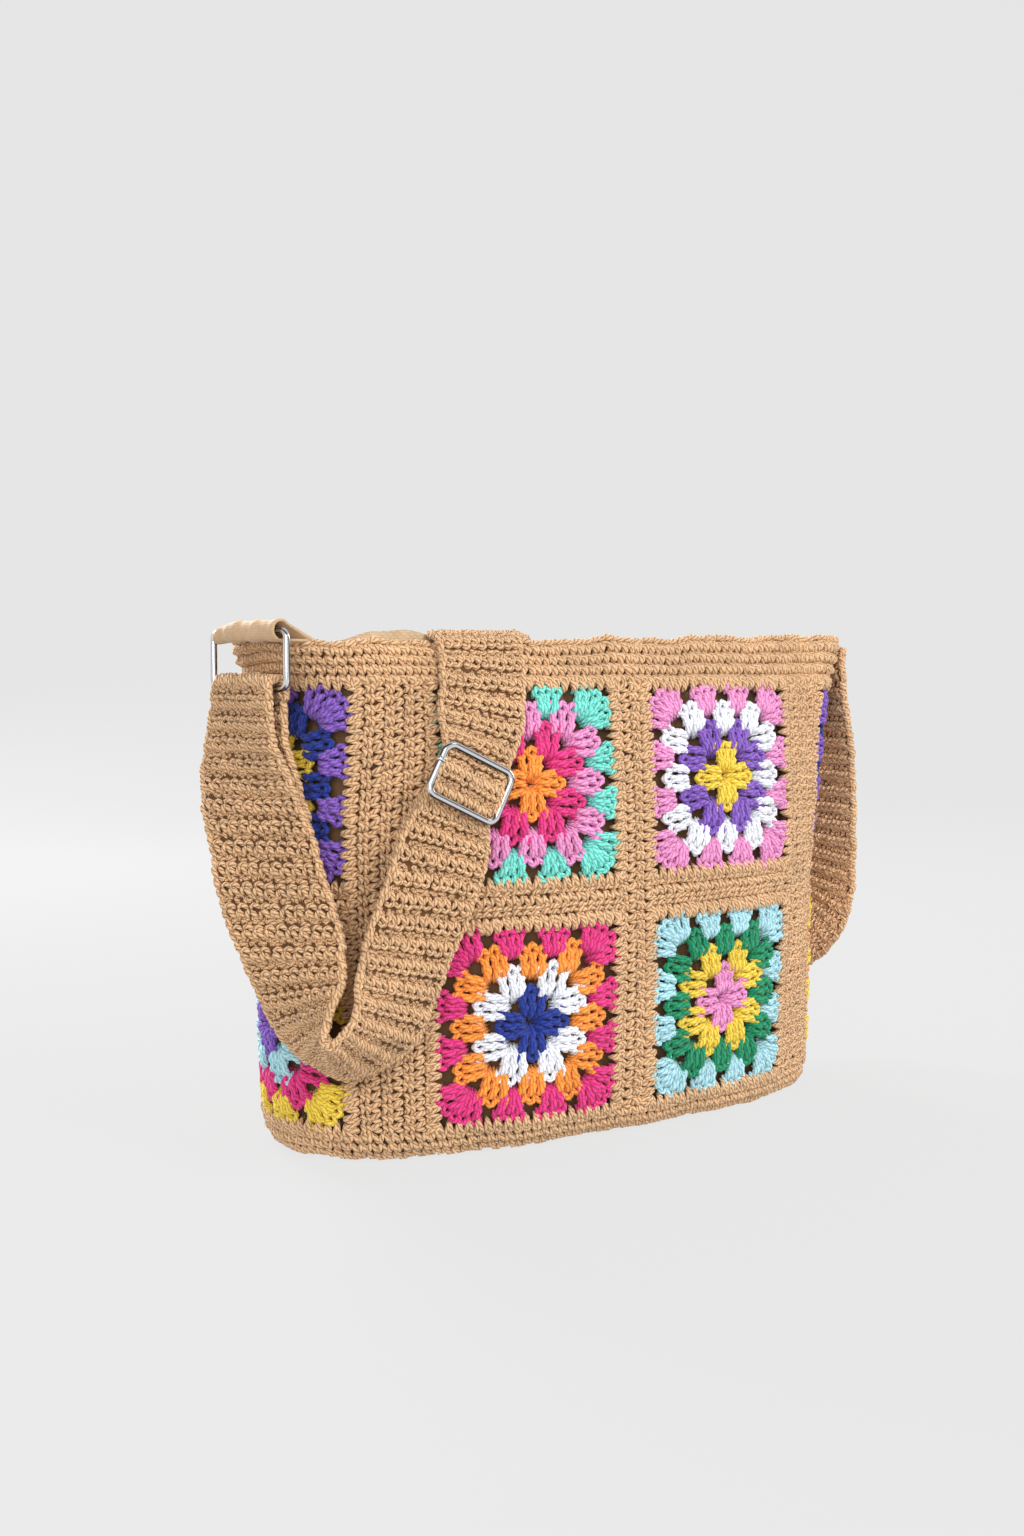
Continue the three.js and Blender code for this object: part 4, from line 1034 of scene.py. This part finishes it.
def smooth_route(points, samples=40):
    """A curve through the points: between two of them a cubic whose slopes come from
    the neighbours, weighed by the root of the distance, with samples to each step."""
    padded = np.concatenate([[2 * points[0] - points[1]], points, [2 * points[-1] - points[-2]]])
    gap = np.linalg.norm(np.diff(padded, axis=0), axis=1) ** 0.5
    a, b, c = gap[:-2, None], gap[1:-1, None], gap[2:, None]
    p0, p1, p2, p3 = padded[:-3], padded[1:-2], padded[2:-1], padded[3:]
    m1 = ((p1 - p0) / a - (p2 - p0) / (a + b) + (p2 - p1) / b) * b
    m2 = ((p2 - p1) / b - (p3 - p1) / (b + c) + (p3 - p2) / c) * b
    s = np.linspace(0, 1, samples, endpoint=False)[None, :, None]
    curve = ((1 + 2 * s) * (1 - s) ** 2 * p1[:, None] + s * (1 - s) ** 2 * m1[:, None]
             + s ** 2 * (3 - 2 * s) * p2[:, None] + s ** 2 * (s - 1) * m2[:, None])
    return np.concatenate([curve.reshape(-1, 3), points[-1:]])


SAMPLES = 40
route_curve = smooth_route(route_place, SAMPLES)
steps = np.arange(len(route_curve)) / SAMPLES
route_turn = np.stack([np.interp(steps, np.arange(len(route_across)), route_across[:, k])
                       for k in range(3)], -1)
route_turn = unit(route_turn)
widths = np.ones(len(route_across))
widths[ends[3]:ends[4]] = FRONT_WIDTHS
widths[ends[4]:ends[4] + len(LEFT_WIDTHS)] = LEFT_WIDTHS
route_width = np.interp(steps, np.arange(len(widths)), widths)
route_run = np.concatenate([[0], np.cumsum(np.linalg.norm(np.diff(route_curve, axis=0), axis=1))])


def run_at(row):
    """The length along the strap at a row of its route."""
    return route_run[row * SAMPLES]


def read_route(table, run):
    """A table along the route, read at lengths run."""
    return np.stack([np.interp(run, route_run, table[:, k]) for k in range(3)], -1)


def strap_cloth(side, drop=None, gather=None):
    """The strap as cloth: x mm across and y mm along its route. side 1 is its outer
    face and -1 its inner one. A tail is sunk by drop and gathered from one edge."""
    def cloth(x, y):
        x, y = np.broadcast_arrays(x, y)
        forward = unit(read_route(route_curve, y + 1.0) - read_route(route_curve, y - 1.0))
        across = read_route(route_turn, y)
        face = np.cross(forward, across)
        width = np.interp(y, route_run, route_width)
        stretch = width / np.maximum(np.linalg.norm(face, axis=-1), 0.2)
        face = unit(face)
        aside = -side * x
        if gather is not None:
            low = gather(y)
            half = STRAP_WIDTH / 2
            aside = low * half + (aside + half) / STRAP_WIDTH * (1 - low) * half
        place = read_route(route_curve, y) + (aside * stretch)[..., None] * across
        if drop is not None:
            place = place - drop(y)[..., None] * face
        return place, side * face
    return cloth


RIDGE = 9.6
RIDGE_RISE = 2.8
RIDGE_SINK = 1.8
STITCHES_ACROSS = 9
STRAP_YARN = 1.3
EDGE_YARN = 1.5
# Half the thickness of the core between the strap's two faces, whose dark tan is painted shade.
STRAP_CORE = 0.9


def strap_stretch(cloth_of, start, end, chance):
    """Crochet on both faces of a stretch of the strap, with looped edges and a core. Two
    rows make one ridge: RIDGE_RISE times a squared sine, less RIDGE_SINK."""
    ridges = max(1, round((end - start) / RIDGE))
    rows = 2 * ridges
    height = (end - start) / rows
    count = STITCHES_ACROSS
    width = (STRAP_WIDTH - 2.6) / count
    parts = []

    def relief(y):
        return RIDGE_RISE * np.sin(np.pi * (y - start) / (2 * height)) ** 2 - RIDGE_SINK

    for side in (1, -1):
        cloth = cloth_of(side)
        for row in range(rows):
            x = (np.arange(count) - (count - 1) / 2) * width + 0.12 * width * (-1) ** row
            y = np.full(count, start + row * height)
            is_back = (row + (side < 0)) % 2
            shape = (BACK if is_back else FRONT) * [1, 1, 1.1]
            parts.append(crochet(cloth, x, y, width, height, shape, chance, STRAP_CORE + 0.25,
                                 yarn=STRAP_YARN, relief=relief))
    cloth = cloth_of(1)
    y = start + np.arange(rows) * height
    for edge in (-1, 1):
        loop = np.array([[(0.0, -0.15, -1.3), (0.15 * edge, 0.2, -0.6), (0.24 * edge, 0.5, 0.2),
                          (0.15 * edge, 0.8, 1.0), (0.0, 1.15, 1.4)],
                         [(0.0, -0.15, 1.3), (0.05 * edge, 0.2, 1.4), (0.17 * edge, 0.5, 0.8),
                          (0.17 * edge, 0.8, -0.3), (0.0, 1.15, -1.3)]])
        x = np.full(rows, edge * (STRAP_WIDTH / 2 - 0.9))
        parts.append(crochet(cloth, x, y, width, height, loop, chance, yarn=EDGE_YARN))
    core = slab(cloth, np.linspace(-1, 1, 7) * (STRAP_WIDTH / 2 - 1.0),
                np.linspace(start, end, 4 * rows + 1), STRAP_CORE, -STRAP_CORE, finish=1)
    return parts + [core]


right_end, back_end, _, over_end, front_end, left_end, fold_end = ends
over_start = back_end - 1
STRETCHES = {
    "strap_right": (0, right_end - 1),
    "strap_back": (right_end - 1, over_start),
    "strap_over": (over_start, over_end),
    "strap_front": (over_end, front_end - 1),
    "strap_left": (front_end - 1, fold_end - 1),
}
for node, (first, last) in STRETCHES.items():
    parts = strap_stretch(strap_cloth, run_at(first), run_at(last), chance)
    piece = add_piece(f"{node}_crochet", parts, [tan_yarn, shaded_core_yarn])
    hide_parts(node)

# The tail under the strap, from the buckle down and up again to the ring, gathered to
# half its width on the inner side of the loop.
layer = STRAP_THICKNESS + SEAT
tail_first = run_at(over_end + TAIL_START)
tail_low = run_at(front_end - 1)
tail_last = run_at(left_end - 1)


def smoothstep(value, low, high):
    """0 below low, 1 above high, and a smooth cubic between."""
    s = np.clip((value - low) / (high - low), 0, 1)
    return s * s * (3 - 2 * s)


def loop_share(run):
    """0 at the tail's two ends and 1 at the bottom of the loop."""
    down = (run - tail_first) / (tail_low - tail_first)
    rise = (tail_last - run) / (tail_last - tail_low)
    return np.clip(np.minimum(down, rise), 0, 1)


def tail_drop(run):
    """How far the tail lies under the strap: one layer, a little more at the bottom of
    the loop, and as much as the ring's bar needs at its last end."""
    share = (run - tail_low) / (tail_last - tail_low)
    return (layer + 2.5 * SEAT * smoothstep(loop_share(run), 0.15, 0.5)
            + (BAR_ROOM - layer) * smoothstep(share, 0.7, 1))


def tail_gather(run):
    """Where the tail's gathered edge is, in half widths: -1 where it lies flat at its
    two ends, and a tenth past the middle at the bottom of the loop."""
    return -(1 - 1.1 * smoothstep(loop_share(run), 0.25, 0.75))


def tail_cloth(side):
    """The strap as cloth where it is the tail."""
    return strap_cloth(side, tail_drop, tail_gather)


for node, start, end in (("tail_front", tail_first, tail_low), ("tail_left", tail_low, tail_last)):
    parts = strap_stretch(tail_cloth, start, end, chance)
    piece = add_piece(f"{node}_crochet", parts, [tan_yarn, shaded_core_yarn])
    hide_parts(node)


# The slide buckle: a rectangle of chromed wire with a bar across its middle. The strap
# goes behind its two long wires and over its bar.
SLIDE_WIDTH = 34.0
SLIDE_HEIGHT = 24.0
slide_place, slide_across = wall_rows(FRONT_RUN)
upper, lower = slide_place[TAIL_START - 2], slide_place[TAIL_START + 1]
along = slide_across[TAIL_START - 1]
slide_out = unit(np.cross(lower - upper, along))
rise = np.cross(slide_out, along)
on_strap = STRAP_THICKNESS / 2 + SEAT + WIRE / 2
slide_centre = (upper + lower) / 2 + slide_out * (on_strap + 6 * SEAT)
slide_loop = wire_loop(slide_centre, along, rise, SLIDE_WIDTH, SLIDE_HEIGHT)
# The nut that closes the wire on its left side, a short fat sleeve.
NUT_RADIUS = 2.6
NUT_HALF = 1.4
nut_middle = slide_centre - along * SLIDE_WIDTH / 2 + rise * 3.4
nut_path = nut_middle + np.linspace(-NUT_HALF, NUT_HALF, 6)[:, None] * rise
nut = yarn_strands(nut_path[None], np.repeat(slide_out[None, None], 6, 1), NUT_RADIUS, chance,
                   sides=WIRE_SIDES)
slide = add_piece("slide_frame_wire", [slide_loop, nut], [chrome])
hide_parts("slide_frame")
bar_half = (SLIDE_WIDTH - WIRE - 2 * SEAT) / 2
bar_middle = slide_place[TAIL_START - 1] - slide_out * (on_strap + SEAT)
bar_path = bar_middle + np.linspace(-bar_half, bar_half, 7)[:, None] * along
bar_part = yarn_strands(bar_path[None], np.repeat(slide_out[None, None], 7, 1), WIRE / 2,
                        chance, sides=WIRE_SIDES)
slide_bar = add_piece("slide_bar_wire", [bar_part], [chrome])
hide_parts("slide_bar")


# The studio: pale paper that is the floor and sweeps up into a backdrop, an even pale
# sky, and four large soft lights, at the key, the fill, the right side and the rear.
def studio_paper():
    """Matt pale paper, partly lit from within so that its tone stays even."""
    material = bpy.data.materials.new("pale_paper")
    material.use_nodes = True
    shader = material.node_tree.nodes["Principled BSDF"]
    shader.inputs["Base Color"].default_value = linear("3a3a3a")
    shader.inputs["Roughness"].default_value = 0.95
    shader.inputs["Specular IOR Level"].default_value = 0.0
    shader.inputs["Emission Color"].default_value = linear("e7e7e7")
    shader.inputs["Emission Strength"].default_value = 0.945
    return material


sweep = np.linspace(0, np.pi / 2, 17)
sweep_y = np.concatenate([[-2.5, 0.0], 1.4 + 1.0 * np.sin(sweep), [2.4]])
sweep_z = np.concatenate([[0.0, 0.0], 1.0 - 1.0 * np.cos(sweep), [4.5]])
sweep_points = np.array([(x, y, z) for x in (-4.0, 4.0) for y, z in zip(sweep_y, sweep_z)])
count = len(sweep_y)
sweep_mesh = bpy.data.meshes.new("floor")
sweep_mesh.from_pydata(sweep_points.tolist(), [], [
    (i, i + count, i + count + 1, i + 1) for i in range(count - 1)])
sweep_mesh.shade_smooth()
sweep_mesh.materials.append(studio_paper())
floor = bpy.data.objects.new("floor", sweep_mesh)
bpy.context.scene.collection.objects.link(floor)

world = bpy.data.worlds.new("studio")
bpy.context.scene.world = world
world.use_nodes = True
world.node_tree.nodes["Background"].inputs["Color"].default_value = linear("e7e7e7")
world.node_tree.nodes["Background"].inputs["Strength"].default_value = 0.74


def soft_light(name, place, aim, size, power):
    """A square area light at place, turned to aim, that the camera doesn't see."""
    light = bpy.data.lights.new(name, "AREA")
    light.size = size
    light.energy = power
    lamp = bpy.data.objects.new(name, light)
    back = unit(np.array(place) - np.array(aim))
    side = unit(np.cross([0, 0, 1.0], back))
    over = np.cross(back, side)
    turn = np.eye(4)
    turn[:3, :3] = np.stack([side, over, back], -1)
    turn[:3, 3] = place
    lamp.matrix_world = [list(column) for column in turn.T]
    lamp.visible_camera = False
    bpy.context.scene.collection.objects.link(lamp)


soft_light("key", (0.5, -1.6, 1.5), (0, 0, 0.12), 0.6, 23.0)
soft_light("fill", (-1.2, -1.5, 0.7), (0, 0, 0.12), 1.2, 15.0)
soft_light("side", (1.7, -0.5, 0.8), (0, 0, 0.12), 1.0, 9.0)
soft_light("rear", (-0.2, 1.5, 0.95), (0.15, 0, 0.12), 0.7, 45.0)

# The camera stands to the left of the front, 215 mm up, and looks 3 degrees down.
lens = bpy.data.cameras.new("camera")
lens.sensor_fit = "VERTICAL"
lens.sensor_height = 36.0
lens.lens = 37.5
lens.clip_start = 0.02
camera = bpy.data.objects.new("camera", lens)
camera.location = (-0.4473, -0.6780, 0.2150)
camera.rotation_euler = (np.radians(87.0), 0.0, np.radians(-32.0))
bpy.context.scene.collection.objects.link(camera)
bpy.context.scene.camera = camera
bpy.context.scene.view_settings.view_transform = "Standard"
